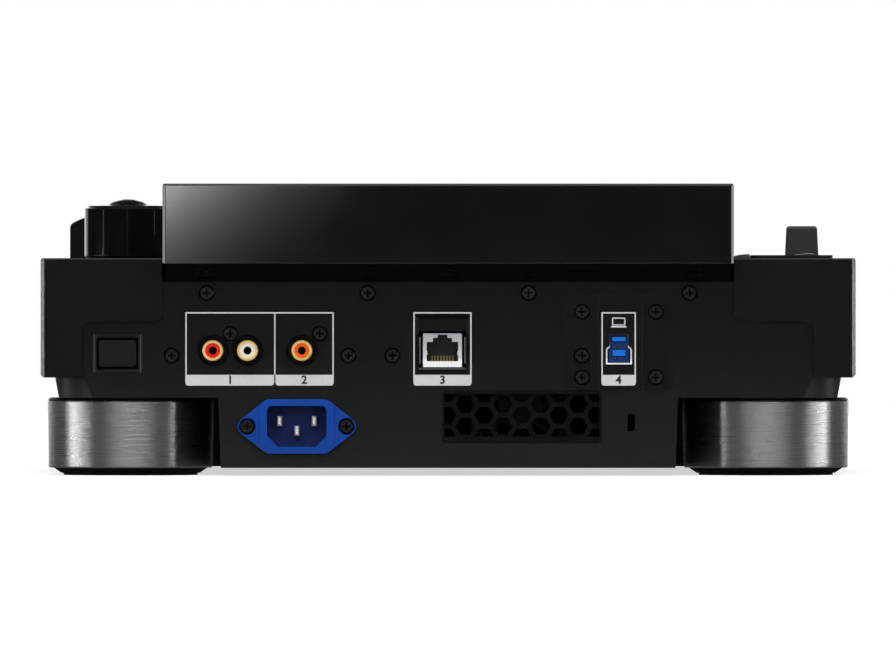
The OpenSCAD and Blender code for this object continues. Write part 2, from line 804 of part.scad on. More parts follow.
module foot_shells() {
  rim_r = foot_r - 0.4;
  color("#8f9194") for (p = foot_places)
    translate([p[0], p[1], 0]) difference() {
      union() {
        translate([0, 0, foot_rim_z]) cylinder(r1 = rim_r - 0.5, r2 = rim_r, h = 0.5);
        translate([0, 0, foot_rim_z + 0.5])
          cylinder(r1 = rim_r, r2 = foot_r, h = foot_top_z - foot_rim_z - 1.1);
        translate([0, 0, foot_top_z - 0.6]) cylinder(r1 = foot_r, r2 = foot_r - 0.6, h = 0.6);
      }
      translate([0, 0, foot_rim_z - 1]) cylinder(r = foot_r - foot_wall, h = foot_top_z - foot_rim_z - 2);
      cylinder(r = foot_screw_r + 0.3, h = 60);
    }
}

module foot_pads() {
  pad_rim_r = foot_r - 2.4;
  pad_lip = 0.85;
  color("#141414") for (p = foot_places)
    translate([p[0], p[1], 0]) difference() {
      union() {
        cylinder(r = pad_floor_r, h = pad_lip);
        translate([0, 0, pad_lip - eps])
          cylinder(r1 = pad_floor_r + 0.9, r2 = pad_rim_r, h = foot_rim_z - pad_lip + eps);
        translate([0, 0, foot_rim_z - eps]) cylinder(r = foot_r - foot_wall - 0.1, h = 5);
      }
      translate([0, 0, -1]) cylinder(r = 7, h = 20);
    }
}

module foot_screws() {
  head_z = foot_top_z - 3;
  color("#777777") for (p = foot_places)
    translate([p[0], p[1], head_z]) rotate([180, 0, 0])
      translate([0, 0, 3]) screw(4.5, 3, foot_screw_r, 9);
}

// ---- Display ----

// Frame of the display's sloping face: y runs up the slope, z is its normal
module on_slope() {
  translate([0, display_front_y, deck_z + display_lip]) rotate([display_slope, 0, 0]) children();
}

module display_housing() {
  edge = 0.8;
  side_edge = 1.1;
  corner = 0.6;
  front_under_z = deck_z + 0.2;
  rear_wall_y = display_rear_y - display_wall;
  color("#121212") difference() {
    union() {
      intersection() {
        slab_x(display_w) polygon([
          [display_rear_y, display_face_z], [display_rear_y, display_top - edge],
          [display_rear_y - edge, display_top], [display_rear_y - 4, display_top],
          [display_front_y, deck_z + display_lip], [display_front_y, front_under_z],
          [display_front_y + 4, front_under_z], [panel_y, display_face_z]
        ]);
        slab_y(display_rear_y, display_d) polygon([
          [-display_w / 2, 0], [display_w / 2, 0], [display_w / 2, display_top - corner],
          [display_w / 2 - corner, display_top], [corner - display_w / 2, display_top],
          [-display_w / 2, display_top - corner]
        ]);
        translate([0, display_rear_y - display_d / 2, 0]) linear_extrude(display_top + 1)
          bevelled_rect(display_w, display_d, side_edge);
      }
      slab_x(plug_w) polygon([
        [display_rear_y - 0.6, display_face_z + 0.1], [panel_y, display_seat_z],
        [display_front_y + display_lap, display_seat_z], [display_front_y + display_lap, deck_z + 1],
        [panel_y, deck_z + 8]
      ]);
    }
    slab_x(plug_w - 2 * display_wall) polygon([
      [display_front_y + display_lap + display_wall, display_seat_z - 1],
      [panel_in_y - 4, display_seat_z - 1], [panel_in_y - 4, display_seat_z + 2.2],
      [rear_wall_y, display_face_z + 2.6], [rear_wall_y, display_top - 6],
      [display_front_y + display_lap + display_wall, deck_z - 0.6]
    ]);
    on_slope() translate([0, slope_length / 2, 0]) {
      cube([glass_w, glass_d, 2 * glass_t], center = true);
      cube([screen_w + 1, screen_d + 1, 16], center = true);
    }
    for (x = screw_places_display)
      display_screw_axis(x) {
        translate([0, 0, -1.2]) cylinder(r = 4, h = 6);
        translate([0, 0, -10]) cylinder(r = screw_shank_r + 0.2, h = 20);
      }
  }
}

// Axis of a screw in the display's slanted underside, z pointing out of it
module display_screw_axis(x) {
  fall = display_face_z - display_seat_z;
  run = display_rear_y - panel_y;
  translate([x, (display_rear_y + panel_y) / 2, (display_face_z + display_seat_z) / 2])
    rotate([180 + atan2(fall, run), 0, 0]) children();
}

module display_screws() {
  color("#2a2a2a") for (x = screw_places_display)
    display_screw_axis(x) translate([0, 0, -0.4]) screw(3.2, 0.8, screw_shank_r, 5);
}

module display_glass() {
  color("#050505") on_slope()
    translate([0, slope_length / 2, -glass_t]) rounded_plate(glass_w - 0.2, glass_d - 0.2, glass_t, 1);
}

module display_panel() {
  color("#101418") on_slope()
    translate([0, slope_length / 2, -glass_t - screen_t / 2])
      cube([screen_w, screen_d, screen_t], center = true);
}

// ---- Rear panel pieces ----

// Row-and-column honeycomb of flat-topped hexagons over a w by h window
module honeycomb(w, h) {
  pitch_z = hex_flats + hex_rib;
  pitch_x = pitch_z * cos(30);
  cols = ceil(w / 2 / pitch_x);
  rows = ceil(h / 2 / pitch_z);
  for (i = [-cols : cols], j = [-rows : rows])
    translate([i * pitch_x, (j + (i % 2 == 0 ? 0 : 0.5)) * pitch_z])
      circle(r = hex_flats / 2 / cos(30), $fn = 6);
}

module vent_grille() {
  window_w = vent_w - 2 * vent_side;
  window_h = vent_h - vent_floor - vent_roof;
  window_z = vent_z + (vent_floor - vent_roof) / 2;
  color("#101010") difference() {
    slab_y(panel_y + vent_rise, vent_rise + vent_depth + vent_plate_t) translate([vent_x, vent_z])
      rounded_rect(vent_w, vent_h, vent_corner_r);
    slab_y(panel_y + 1, vent_depth + 1) translate([vent_x, window_z])
      square([window_w, window_h], center = true);
    slab_y(panel_y - vent_depth + eps, vent_plate_t + 1) translate([vent_x, window_z]) intersection() {
      square([window_w, window_h], center = true);
      honeycomb(window_w, window_h);
    }
  }
}

// Cover plate of the USB port: two leaves that fall away from a sunk channel
module usb_plate() {
  plate_y = panel_y + usb_plate_t;
  channel_y = plate_y - 0.7;
  left = usb_x - usb_plate_w / 2;
  right = usb_x + usb_plate_w / 2;
  low = usb_channel_x - usb_channel_w / 2;
  high = usb_channel_x + usb_channel_w / 2;
  color("#131313") difference() {
    translate([0, 0, usb_z - usb_plate_h / 2]) linear_extrude(usb_plate_h) polygon([
      [left, panel_y], [left, plate_y - usb_fold], [low, plate_y], [low, channel_y],
      [high, channel_y], [high, plate_y], [right, plate_y - usb_fold], [right, panel_y]
    ]);
    slab_y(plate_y + 1, usb_plate_t + 2) translate([usb_port_x, usb_port_z]) {
      usb_b_outline(run_gap);
      usb_b_low(usb_shell_t + run_gap);
    }
    for (p = usb_screw_places) {
      rod_y(p[0], p[1], plate_y + 1, screw_shank_r + 0.2, usb_plate_t + 2);
      rod_y(p[0], p[1], plate_y + 1, usb_well_r, panel_recess + 1);
    }
    slab_y(plate_y + 1, panel_recess + 1)
      translate([usb_screw_x[0], (usb_extra_z + usb_screw_rows[1]) / 2])
        square([2 * usb_well_r, usb_extra_z - usb_screw_rows[1]], center = true);
  }
}

module panel_screws() {
  color("#2a2a2a") {
    for (p = concat(panel_screw_places, jack_screw_places))
      screw_y(p[0], p[1], panel_y - panel_recess + 1.4);
    for (p = usb_screw_places)
      screw_y(p[0], p[1], panel_y + usb_plate_t - panel_recess + 1.4);
    for (sx = [-1, 1])
      screw_y(inlet_x + sx * inlet_pitch / 2, inlet_z, panel_y + inlet_flange_t - inlet_seat_d + 1.4);
  }
}

// Block of moulded plastic behind the panel with a flange around each barrel
module jack_block(x1, x2) {
  block_h = 15;
  block_d = 14;
  translate([x1, panel_in_y - block_d, board_top_z]) cube([x2 - x1, block_d, block_h]);
}

module jack_housings() {
  color("#0e0e0e") difference() {
    union() {
      jack_block(jack_left_x - 7, jack_right_x + 7);
      jack_block(jack_digital_x - 11, jack_digital_x + 7);
      for (x = jack_places)
        rod_y(x, jack_z, panel_y + jack_ring_rise, jack_ring_r, panel_t + jack_ring_rise + eps);
    }
    for (x = jack_places)
      rod_y(x, jack_z, panel_y + 2, neck_r + insert_gap, 11);
    for (p = jack_screw_places)
      rod_y(p[0], p[1], panel_in_y + 1, screw_shank_r + 0.1, 8);
  }
}

module jack_barrels() {
  tip = 0.5;
  color("#c9a227") for (x = jack_places)
    difference() {
      union() {
        rod_y(x, jack_z, panel_y + barrel_out - tip, barrel_r, barrel_out - tip - barrel_root);
        rod_y(x, jack_z, panel_y + barrel_root + eps, neck_r, barrel_root + 7);
        translate([x, panel_y + barrel_out - tip, jack_z]) rotate([-90, 0, 0])
          cylinder(r1 = barrel_r, r2 = barrel_r - tip, h = tip);
      }
      rod_y(x, jack_z, panel_y + barrel_out + 1, barrel_r - barrel_wall, barrel_out + 9);
    }
}

module jack_inserts() {
  color("#c23028") for (x = jack_places)
    difference() {
      rod_y(x, jack_z, panel_y + barrel_out - 0.8, barrel_r - barrel_wall - insert_gap, barrel_out + 6);
      rod_y(x, jack_z, panel_y + barrel_out + 1, 1.65, 12);
    }
}

// Mouth of the network jack (x, z): wide part, latch steps above
module lan_mouth() {
  translate([-6.35, -4.4]) square([12.7, 7.8]);
  translate([-3.85, 3.3]) square([7.7, 1.7]);
  translate([-2, 4.9]) square([4, 1.45]);
}

module lan_jack() {
  shell_t = 0.6;
  color("#b8babd") difference() {
    translate([lan_x - lan_w / 2, panel_y - lan_depth + 0.4, board_top_z]) cube([lan_w, lan_depth, lan_h]);
    translate([lan_x - lan_w / 2 + shell_t, panel_y - lan_depth, board_top_z + shell_t])
      cube([lan_w - 2 * shell_t, lan_depth - shell_t + 0.2, lan_h - 2 * shell_t]);
    slab_y(panel_y + 2, 4) translate([lan_x, lan_z]) difference() {
      lan_mouth();
      for (sx = [-1, 1])
        translate([sx * 6.35, -1.1]) square([0.6, 1.6], center = true);
    }
  }
  color("#b8babd") for (sx = [-1, 1])
    translate([lan_x + sx * (lan_w / 2 + lan_spring_out), 0, lan_z]) linear_extrude(10.8, center = true) polygon([
      [-sx * (lan_spring_out + eps), panel_y - 6.4], [sx * 0.25, panel_y - 4.5], [sx * 0.25, panel_y - 0.9],
      [-sx * 0.25, panel_y - 0.9], [-sx * 0.25, panel_y - 4.2], [-sx * (lan_spring_out + eps), panel_y - 5.6]
    ]);
}

module lan_insert() {
  inner_w = lan_w - 1.4;
  inner_h = lan_h - 1.4;
  inner_y = panel_y - 0.5;
  contact_pitch = 1.2;
  color("#16181a") difference() {
    translate([lan_x - inner_w / 2, inner_y - lan_depth + 1.4, lan_z - inner_h / 2])
      cube([inner_w, lan_depth - 1.4, inner_h]);
    slab_y(panel_y + 2, 16) translate([lan_x, lan_z]) lan_mouth();
  }
  color("#caa53a") for (i = [-3.5 : 3.5])
    translate([lan_x + i * contact_pitch - 0.25, inner_y - 10, lan_z - 4.4]) cube([0.5, 9, 1]);
}

// Lower part of the USB-B port's mouth (x, z), with its bevelled shoulders
module usb_b_low(grow) {
  half = 4.65 + grow;
  shoulder = 1.35 + 0.4 * grow;
  polygon([
    [half, -5.3 - grow], [half, shoulder - 1.3], [half - 1.5, shoulder + 0.1], [1.5 - half, shoulder + 0.1],
    [-half, shoulder - 1.3], [-half, -5.3 - grow]
  ]);
}

// Whole mouth of the USB-B port (x, z): the lower part and a narrower upper part
module usb_b_outline(grow) {
  usb_b_low(grow);
  translate([-3.65 - grow, -1]) square([7.3 + 2 * grow, 7 + grow]);
}

module usb_b_jack() {
  color("#b8babd") difference() {
    union() {
      slab_y(panel_y - run_gap, 15.8) translate([usb_port_x, usb_port_z]) usb_b_outline(usb_shell_t);
      slab_y(panel_y + usb_plate_t - 0.3, 6) translate([usb_port_x, usb_port_z]) usb_b_low(usb_shell_t);
    }
    slab_y(panel_y + usb_plate_t + 1, 17) translate([usb_port_x, usb_port_z]) usb_b_outline(0);
  }
}

module usb_b_insert() {
  face_y = panel_y + usb_plate_t - 4;
  color("#1f5fd0") difference() {
    slab_y(face_y, 11) translate([usb_port_x, usb_port_z]) usb_b_outline(-0.05);
    for (sx = [-1, 1])
      slab_y(face_y + 1, 4) translate([usb_port_x + sx * 4.5, usb_port_z - 1.9])
        square([0.9, 4.4], center = true);
  }
  color("#1f5fd0") slab_y(face_y + 2.5, 3) translate([usb_port_x, usb_port_z]) {
    translate([-2.5, -2.5]) square([5, 2.4]);
    translate([-2.85, 3.5]) square([5.7, 1.6]);
  }
}

// Outline (x, z) of the inlet's flange: a flat-topped diamond with round ears and eased corners
module inlet_flange() {
  flat = 12.15;
  ease_r = 4;
  half_h = inlet_flange_h / 2;
  ear_x = inlet_pitch / 2;
  reach = norm([ear_x - flat, half_h]);
  lean = atan2(half_h, ear_x - flat) - asin(inlet_ear_r / reach);
  touch = [ear_x + inlet_ear_r * sin(lean), inlet_ear_r * cos(lean)];
  ease_x = flat - ease_r * tan(lean / 2);
  ease = [ease_x + ease_r * sin(lean), half_h - ease_r + ease_r * cos(lean)];
  polygon([
    [ease_x, half_h], ease, touch, [ear_x, 0], [touch[0], -touch[1]], [ease[0], -ease[1]], [ease_x, -half_h],
    [-ease_x, -half_h], [-ease[0], -ease[1]], [-touch[0], -touch[1]], [-ear_x, 0], [-touch[0], touch[1]],
    [-ease[0], ease[1]], [-ease_x, half_h]
  ]);
  for (sx = [-1, 1]) {
    translate([sx * ear_x, 0]) circle(inlet_ear_r);
    for (sz = [-1, 1])
      translate([sx * ease_x, sz * (half_h - ease_r)]) circle(ease_r);
  }
}

// Outline (x, z) of the inlet's socket: round upper corners, bevelled lower corners
module inlet_socket() {
  half_w = inlet_socket_w / 2;
  half_h = inlet_socket_h / 2;
  bevel = 4.5;
  round_r = 2;
  polygon([
    [half_w, half_h - round_r], [half_w, bevel - half_h], [half_w - bevel, -half_h],
    [bevel - half_w, -half_h], [-half_w, bevel - half_h], [-half_w, half_h - round_r]
  ]);
  translate([0, half_h - round_r]) square([inlet_socket_w - 2 * round_r, 2 * round_r], center = true);
  for (sx = [-1, 1])
    translate([sx * (half_w - round_r), half_h - round_r]) circle(round_r);
}

module ac_inlet() {
  body_depth = 24;
  socket_depth = 17;
  face_y = panel_y + inlet_flange_t;
  color("#1148aa") difference() {
    union() {
      slab_y(face_y, inlet_flange_t) translate([inlet_x, inlet_z]) inlet_flange();
      slab_y(face_y + inlet_raise, inlet_raise + eps) translate([inlet_x, inlet_z]) intersection() {
        inlet_flange();
        square([inlet_body_w, inlet_flange_h], center = true);
      }
      slab_y(panel_y + eps, body_depth - inlet_flange_t - inlet_raise) translate([inlet_x, inlet_z])
        bevelled_rect(inlet_body_w, inlet_body_h, inlet_body_bevel);
    }
    slab_y(face_y + inlet_raise + 1, socket_depth + 1) translate([inlet_x, inlet_z]) inlet_socket();
    for (sx = [-1, 1]) {
      rod_y(inlet_x + sx * inlet_pitch / 2, inlet_z, face_y + 1, screw_shank_r + 0.2, inlet_flange_t + 2);
      rod_y(inlet_x + sx * inlet_pitch / 2, inlet_z, face_y + 1, inlet_seat_r, inlet_seat_d + 1);
    }
    for (p = inlet_pin_places)
      slab_y(face_y, 40) translate(p) square([2, 4], center = true);
  }
}

module ac_pins() {
  tip_y = panel_y + 0.8;
  color("#c8c8c8") for (p = inlet_pin_places)
    translate([p[0], 0, p[1]]) intersection() {
      linear_extrude(3.9, center = true) polygon([
        [-0.95, tip_y - 30], [0.95, tip_y - 30], [0.95, tip_y - 1.2], [0.4, tip_y], [-0.4, tip_y],
        [-0.95, tip_y - 1.2]
      ]);
      slab_x(2) polygon([
        [tip_y - 30, -1.95], [tip_y - 0.7, -1.95], [tip_y, -1.3], [tip_y, 1.3], [tip_y - 0.7, 1.95],
        [tip_y - 30, 1.95]
      ]);
    }
}

// Power switch: a ribbed guard round the button, with the switch body behind the panel
module switch_guard() {
  switch_body_d = 14;
  color("#151515") difference() {
    union() {
      slab_y(panel_y + 1, panel_t + 2) translate([switch_x, switch_z]) rounded_rect(guard_w, guard_h, 0.9);
      for (sx = [-1, 1], dx = [0.5, 1.75])
        slab_y(panel_y + 1.4, 0.5) translate([switch_x + sx * (guard_w / 2 - dx), switch_z])
          square([0.7, guard_h - 0.6], center = true);
      slab_y(panel_in_y, switch_body_d) translate([switch_x, switch_z])
        square([guard_w + 4, guard_h + 3], center = true);
    }
    slab_y(panel_y + 2, switch_depth + 2) translate([switch_x, switch_z])
      square([switch_w + 0.4, switch_h + 0.4], center = true);
    slab_y(panel_y + 2, 2.4) translate([switch_x, switch_z])
      square([guard_w - 3.8, guard_h - 1.5], center = true);
  }
}

module power_button() {
  stem_d = switch_depth + switch_rise - switch_cap_d - switch_travel - 0.2;
  color("#1a1a1a") {
    slab_y(panel_y + switch_rise, switch_cap_d) translate([switch_x, switch_z])
      rounded_rect(switch_w, switch_h, 1.3);
    slab_y(panel_y + switch_rise - switch_cap_d + eps, stem_d) translate([switch_x, switch_z])
      square([switch_w - 6, switch_h - 5], center = true);
  }
}

// ---- Boards and fan ----

module main_board() {
  board_w = across(238);
  board_d = 130;
  rear = panel_in_y - 0.5;
  color("#1d5a34") difference() {
    union() {
      translate([-board_w / 2, rear - board_d, board_top_z - board_t]) cube([board_w, board_d, board_t]);
      for (i = [0 : 6])
        translate([-60 + i * 6, rear - 96, board_top_z]) cube([2, 40, 12]);
      translate([-60, rear - 96, board_top_z - eps]) cube([38, 40, 3]);
      translate([30, rear - 90, board_top_z - eps]) cube([18, 18, 1.6]);
      translate([70, rear - 80, board_top_z - eps]) cube([12, 24, 1.6]);
      for (i = [0 : 3])
        translate([74 + i * 9, rear - 34, board_top_z - eps]) cylinder(r = 3.2, h = 9);
    }
    translate([fan_x - fan_size / 2 - 1, rear - 22, board_top_z - 4]) cube([fan_size + 2, 30, 8]);
    for (sx = [-1, 1], py = [panel_y - 118, panel_y - 12])
      translate([sx * across(112), py, board_top_z - 4]) cylinder(r = 1.5, h = 8);
  }
}

module power_supply() {
  top = belly_floor_z + 4 + board_t;
  color("#2b6b3f") {
    translate([16, panel_y - 142, belly_floor_z + 4]) cube([64, 112, board_t]);
    translate([24, panel_y - 100, top - eps]) cube([30, 26, 22]);
    translate([62, panel_y - 112, top - eps]) cylinder(r = 8, h = 24);
    translate([62, panel_y - 92, top - eps]) cylinder(r = 8, h = 24);
    translate([30, panel_y - 130, top - eps]) cube([36, 3, 20]);
    translate([38, panel_y - 56, top - eps]) cube([26, 12, 12]);
  }
}

// One switch under each key, on the control board
module key_switches() {
  for (i = [0 : 7])
    key_switch(hot_x(i), hot_y);
  for (p = [
    [loop_in_x, loop_y], [loop_out_x, loop_y], [sync_x, sync_y], [master_x, sync_y], [tempo_x, reset_y],
    [play_x, play_y], [play_x, cue_y]
  ])
    key_switch(p[0], p[1]);
}

module key_switch(x, y) {
  translate([x - 3, y - 3, control_top_z - eps]) cube([6, 6, switch_top_z - control_top_z + eps]);
}

module control_board() {
  side_x = jog_r + 3;
  side_w = body_w / 2 - cover_wall - 6 - side_x;
  side_front_y = front_y + 12;
  under_z = control_top_z - board_t;
  side_d = hot_y + 12 - side_front_y;
  color("#1d5a34") difference() {
    union() {
      translate([-side_x - side_w, side_front_y, under_z]) cube([side_w, side_d, board_t]);
      translate([side_x, jog_y - 46, under_z]) cube([side_w, side_front_y + side_d - jog_y + 46, board_t]);
      translate([-side_x - eps, hot_y - 12, under_z]) cube([2 * side_x + 2 * eps, 24, board_t]);
      key_switches();
      for (x = [jog_adjust_x, vinyl_speed_x])
        translate([x, knob_y, control_top_z + 2]) cube([12, 12, 4 + eps], center = true);
      translate([selector_x, selector_y, under_z - encoder_h]) cylinder(r = 6, h = encoder_h + eps);
    }
    translate([selector_x, selector_y, under_z - encoder_h - 1]) cylinder(r = shaft_r + run_gap, h = 20);
    translate([lever_x, lever_y, drum_z]) cube([lever_foot_w + 8, 2 * drum_r + 2, 20], center = true);
    for (x = [jog_adjust_x, vinyl_speed_x])
      translate([x, knob_y, under_z - 1]) cylinder(r = shaft_r - 1 + run_gap, h = 20);
    translate([tempo_x - track_w / 2 - 1, jog_y - 60, under_z - 1]) cube([track_w + 2, 60 + track_clear, 6]);
  }
}

module fan_frame() {
  color("#1c1c1c") difference() {
    translate([fan_x, fan_y - fan_t / 2, fan_z]) cube([fan_size, fan_t, fan_size], center = true);
    difference() {
      rod_y(fan_x, fan_z, fan_y + 1, fan_bore_r, fan_t + 2);
      rod_y(fan_x, fan_z, fan_y - fan_t + 2, fan_hub_r, 4);
      for (a = [45, 135])
        translate([fan_x, fan_y - fan_t + 1, fan_z]) rotate([0, a, 0])
          cube([2 * fan_bore_r + 2, 2, 2], center = true);
    }
    rod_y(fan_x, fan_z, fan_y + 1, 1.5 + run_gap, fan_t + 2);
    for (sx = [-1, 1], sz = [-1, 1])
      rod_y(fan_x + sx * 16.3, fan_z + sz * 16.3, fan_y + 1, 1.6, fan_t + 2);
  }
}

module fan_rotor() {
  blades = 7;
  blade_r = fan_bore_r - 0.8;
  depth = fan_t - 4;
  color("#262626") {
    rod_y(fan_x, fan_z, fan_y - 1, fan_hub_r, depth);
    rod_y(fan_x, fan_z, fan_y - 1 - depth + eps, 1.5, 3);
    intersection() {
      rod_y(fan_x, fan_z, fan_y - 1, blade_r, depth);
      for (i = [0 : blades - 1])
        translate([fan_x, fan_y - 1 - depth / 2, fan_z]) rotate([0, i * 360 / blades, 0])
          translate([fan_hub_r - 1, 0, 0]) rotate([40, 0, 0]) translate([0, -6, -0.6]) cube([20, 12, 1.2]);
    }
  }
}

// ---- Disc drive ----

module disc_drive() {
  leg_x = belly_w / 2 + 6;
  leg_t = 2;
  color("#8b8d90") difference() {
    union() {
      translate([-drive_w / 2, drive_front_y, drive_z]) cube([drive_w, drive_d, drive_h]);
      translate([-leg_x - leg_t, drive_front_y + 30, drive_z]) cube([2 * (leg_x + leg_t), 70, drive_wall]);
      for (sx = [-1, 1])
        translate([sx * (leg_x + leg_t / 2), drive_front_y + 65, (pan_deck_z + drive_z) / 2])
          cube([leg_t, 70, drive_z - pan_deck_z], center = true);
    }
    translate([-drive_w / 2 + drive_wall, drive_front_y + drive_wall, drive_z + drive_wall])
      cube([drive_w - 2 * drive_wall, drive_d - 2 * drive_wall, drive_h - 2 * drive_wall]);
    slab_y(drive_front_y + drive_wall + 1, drive_wall + 2)
      translate([0, slot_z]) square([slot_w, slot_h], center = true);
    translate([0, disc_y, drive_z - 1]) cylinder(r = 1.5 + run_gap, h = 5);
  }
}

module drive_turntable() {
  hub_top = slot_z - slot_h / 2 - 0.3;
  color("#303236") translate([0, disc_y, 0]) {
    translate([0, 0, drive_z + drive_wall + 0.5]) cylinder(r = 11, h = 4);
    translate([0, 0, hub_top - 3]) cylinder(r = turntable_r, h = 2);
    translate([0, 0, hub_top - 1 - eps]) cylinder(r1 = 7.4, r2 = 6.8, h = 1 + eps);
    translate([0, 0, drive_z + 0.4]) cylinder(r = 1.5, h = hub_top - drive_z - 2);
  }
}

// ---- Jog wheel ----

module jog_base() {
  color("#202020") translate([0, jog_y, 0]) difference() {
    union() {
      translate([0, 0, deck_under - 3]) cylinder(r = jog_hole_r + 6, h = 3);
      translate([0, 0, deck_under - eps]) cylinder(r = 34, h = jog_under_z - 0.3 - deck_under);
      translate([0, 0, deck_under - eps]) cylinder(r = spindle_r, h = jog_web_z + 0.5 - deck_under);
    }
    translate([0, 0, deck_under - 5]) cylinder(r = spindle_r - 4, h = 60);
    for (a = [0 : 60 : 300])
      rotate(a) translate([48, 0, deck_under - 5]) cylinder(r = 7, h = 10);
  }
}

module jog_display() {
  color("#0a0c10") translate([0, jog_y, jog_web_z + 0.5]) {
    cylinder(r = jog_screen_r, h = jog_plate_t - 0.9);
    translate([0, 0, jog_plate_t - 0.9 - eps]) cylinder(r1 = jog_screen_r, r2 = jog_screen_r - 0.4, h = 0.4);
  }
}

module jog_wheel() {
  rim_in = jog_plate_r + 1;
  hub_r = spindle_r + run_gap;
  dimple_z = jog_under_z + 5;
  color("#171717") translate([0, jog_y, 0]) difference() {
    rotate_extrude($fn = 96) polygon([
      [hub_r, jog_under_z], [hub_r + 6, jog_under_z], [hub_r + 6, jog_web_z - jog_web_t],
      [jog_r - 8, jog_web_z - jog_web_t], [jog_r - 8, jog_under_z], [jog_r - 0.8, jog_under_z],
      [jog_r, jog_under_z + 0.8], [jog_r, jog_web_z - 3], [jog_r - 1.5, jog_web_z - 1.5],
      [rim_in + 2, jog_top_z], [rim_in + 0.4, jog_top_z], [rim_in, jog_top_z - 0.4],
      [rim_in, jog_web_z], [hub_r, jog_web_z]
    ]);
    for (i = [0 : dimple_count - 1])
      rotate((i + 0.5) * 360 / dimple_count)
        translate([jog_r + dimple_r - 1.8, 0, dimple_z]) sphere(dimple_r);
  }
}

module jog_plate() {
  hole_r = jog_screen_r + 0.6;
  color("#2e3034") translate([0, jog_y, jog_web_z]) rotate_extrude($fn = 96) polygon([
    [hole_r, 0], [jog_plate_r, 0], [jog_plate_r, jog_plate_t - 0.8], [jog_plate_r - 0.8, jog_plate_t],
    [hole_r + 5, jog_plate_t], [hole_r, jog_plate_t - 0.7]
  ]);
}

// ---- Controls ----

// Sideways place of hot cue key i
function hot_x(i) = (i - 3.5) * cue_key_pitch;

// Lower parts of a key: flange under the deck, stem down to the switch
module key_foot(w, d) {
  translate([0, 0, deck_under - 0.2 - key_flange_t])
    rounded_plate(w + 2 * key_flange, d + 2 * key_flange, key_flange_t, key_corner);
  stem_z = switch_top_z + key_travel + 0.1;
  translate([0, 0, stem_z]) cylinder(r = 2, h = deck_under - 0.2 - key_flange_t - stem_z + eps);
}

// Rectangular key with a bevelled top
module key(x, y, w, d) {
  body_h = deck_z + key_rise - deck_under + 0.2;
  translate([x, y, 0]) {
    translate([0, 0, deck_under - 0.2 - eps]) rounded_plate(w, d, body_h - 0.3, key_corner);
    translate([0, 0, deck_z + key_rise - 0.3 - 2 * eps])
      rounded_plate(w - 0.6, d - 0.6, 0.3, key_corner - 0.3);
    key_foot(w, d);
  }
}

// Round key with a dished top
module round_key(x, y, r) {
  top_z = deck_z + key_rise + 0.1;
  translate([x, y, 0]) {
    difference() {
      translate([0, 0, deck_under - 0.2 - eps]) cylinder(r = r, h = top_z - deck_under + 0.2);
      translate([0, 0, top_z + 3 * r - 0.4]) sphere(3 * r, $fn = 128);
    }
    translate([0, 0, deck_under - 0.2 - key_flange_t]) cylinder(r = r + key_flange, h = key_flange_t);
    key_foot(r, r);
  }
}

module hot_cue(i) {
  color("#3a3d40") key(hot_x(i), hot_y, cue_key_w, key_d);
}

module hot_cue_a() hot_cue(0);
module hot_cue_b() hot_cue(1);
module hot_cue_c() hot_cue(2);
module hot_cue_d() hot_cue(3);
module hot_cue_e() hot_cue(4);
module hot_cue_f() hot_cue(5);
module hot_cue_g() hot_cue(6);
module hot_cue_h() hot_cue(7);

module loop_in_button() {
  color("#3a3d40") key(loop_in_x, loop_y, small_w, key_d);
}

module loop_out_button() {
  color("#3a3d40") key(loop_out_x, loop_y, small_w, key_d);
}

module beat_sync_button() {
  color("#3a3d40") key(sync_x, sync_y, small_w, key_d);
}

module master_button() {
  color("#3a3d40") key(master_x, sync_y, small_w, key_d);
}

module tempo_reset_button() {
  color("#3a3d40") key(tempo_x, reset_y, small_w, key_d - 3);
}

module eject_button() {
  color("#3a3d40") key(eject_x, eject_y, small_w, key_d - 3);
}

module play_button() {
  color("#2c2f2d") round_key(play_x, play_y, play_r);
}

module cue_button() {
  color("#2c2f2d") round_key(play_x, cue_y, cue_r);
}

module selector_shaft() {
  color("#a9abae") translate([selector_x, selector_y, 0]) {
    translate([0, 0, control_top_z - encoder_h])
      cylinder(r = shaft_r, h = selector_top - 6 - control_top_z + encoder_h);
    translate([0, 0, deck_under - 0.6 - 1.2]) cylinder(r = shaft_r + 2.4, h = 1.2);
  }
}

module selector_knob() {
  knob_h = selector_top - selector_base_z;
  pits = 10;
  color("#151515") translate([selector_x, selector_y, 0]) difference() {
    union() {
      translate([0, 0, selector_base_z]) rotate_extrude() polygon([
        [0, 0], [selector_r - 0.3, 0], [selector_r, 0.3], [selector_r, knob_h - 1.6],
        [selector_r - 1.6, knob_h - 0.95], [selector_r - 1.65, knob_h - 0.45], [dome_r, knob_h], [0, knob_h]
      ]);
      translate([0, 0, selector_top - eps]) intersection() {
        cylinder(r = dome_r, h = dome_rise + eps);
        translate([0, 0, dome_rise - dome_ball_r]) sphere(dome_ball_r, $fn = 96);
      }
    }
    for (i = [0 : pits - 1]) {
      rotate((i + 0.5) * 360 / pits) translate([dome_r - 1.8, 0, selector_top + dome_rise / 2]) sphere(1.35);
      rotate(i * 720 / pits) translate([dome_r - 5.2, 0, selector_top + dome_rise + 0.1]) sphere(1.1);
    }
    translate([0, 0, selector_base_z - 1])
      cylinder(r = shaft_r + run_gap, h = selector_top - 5.5 - selector_base_z + 1);
    translate([0, 0, selector_base_z - 1]) difference() {
      cylinder(r = selector_r - 2.4, h = 11);
      cylinder(r = shaft_r + 3, h = 12);
    }
  }
}

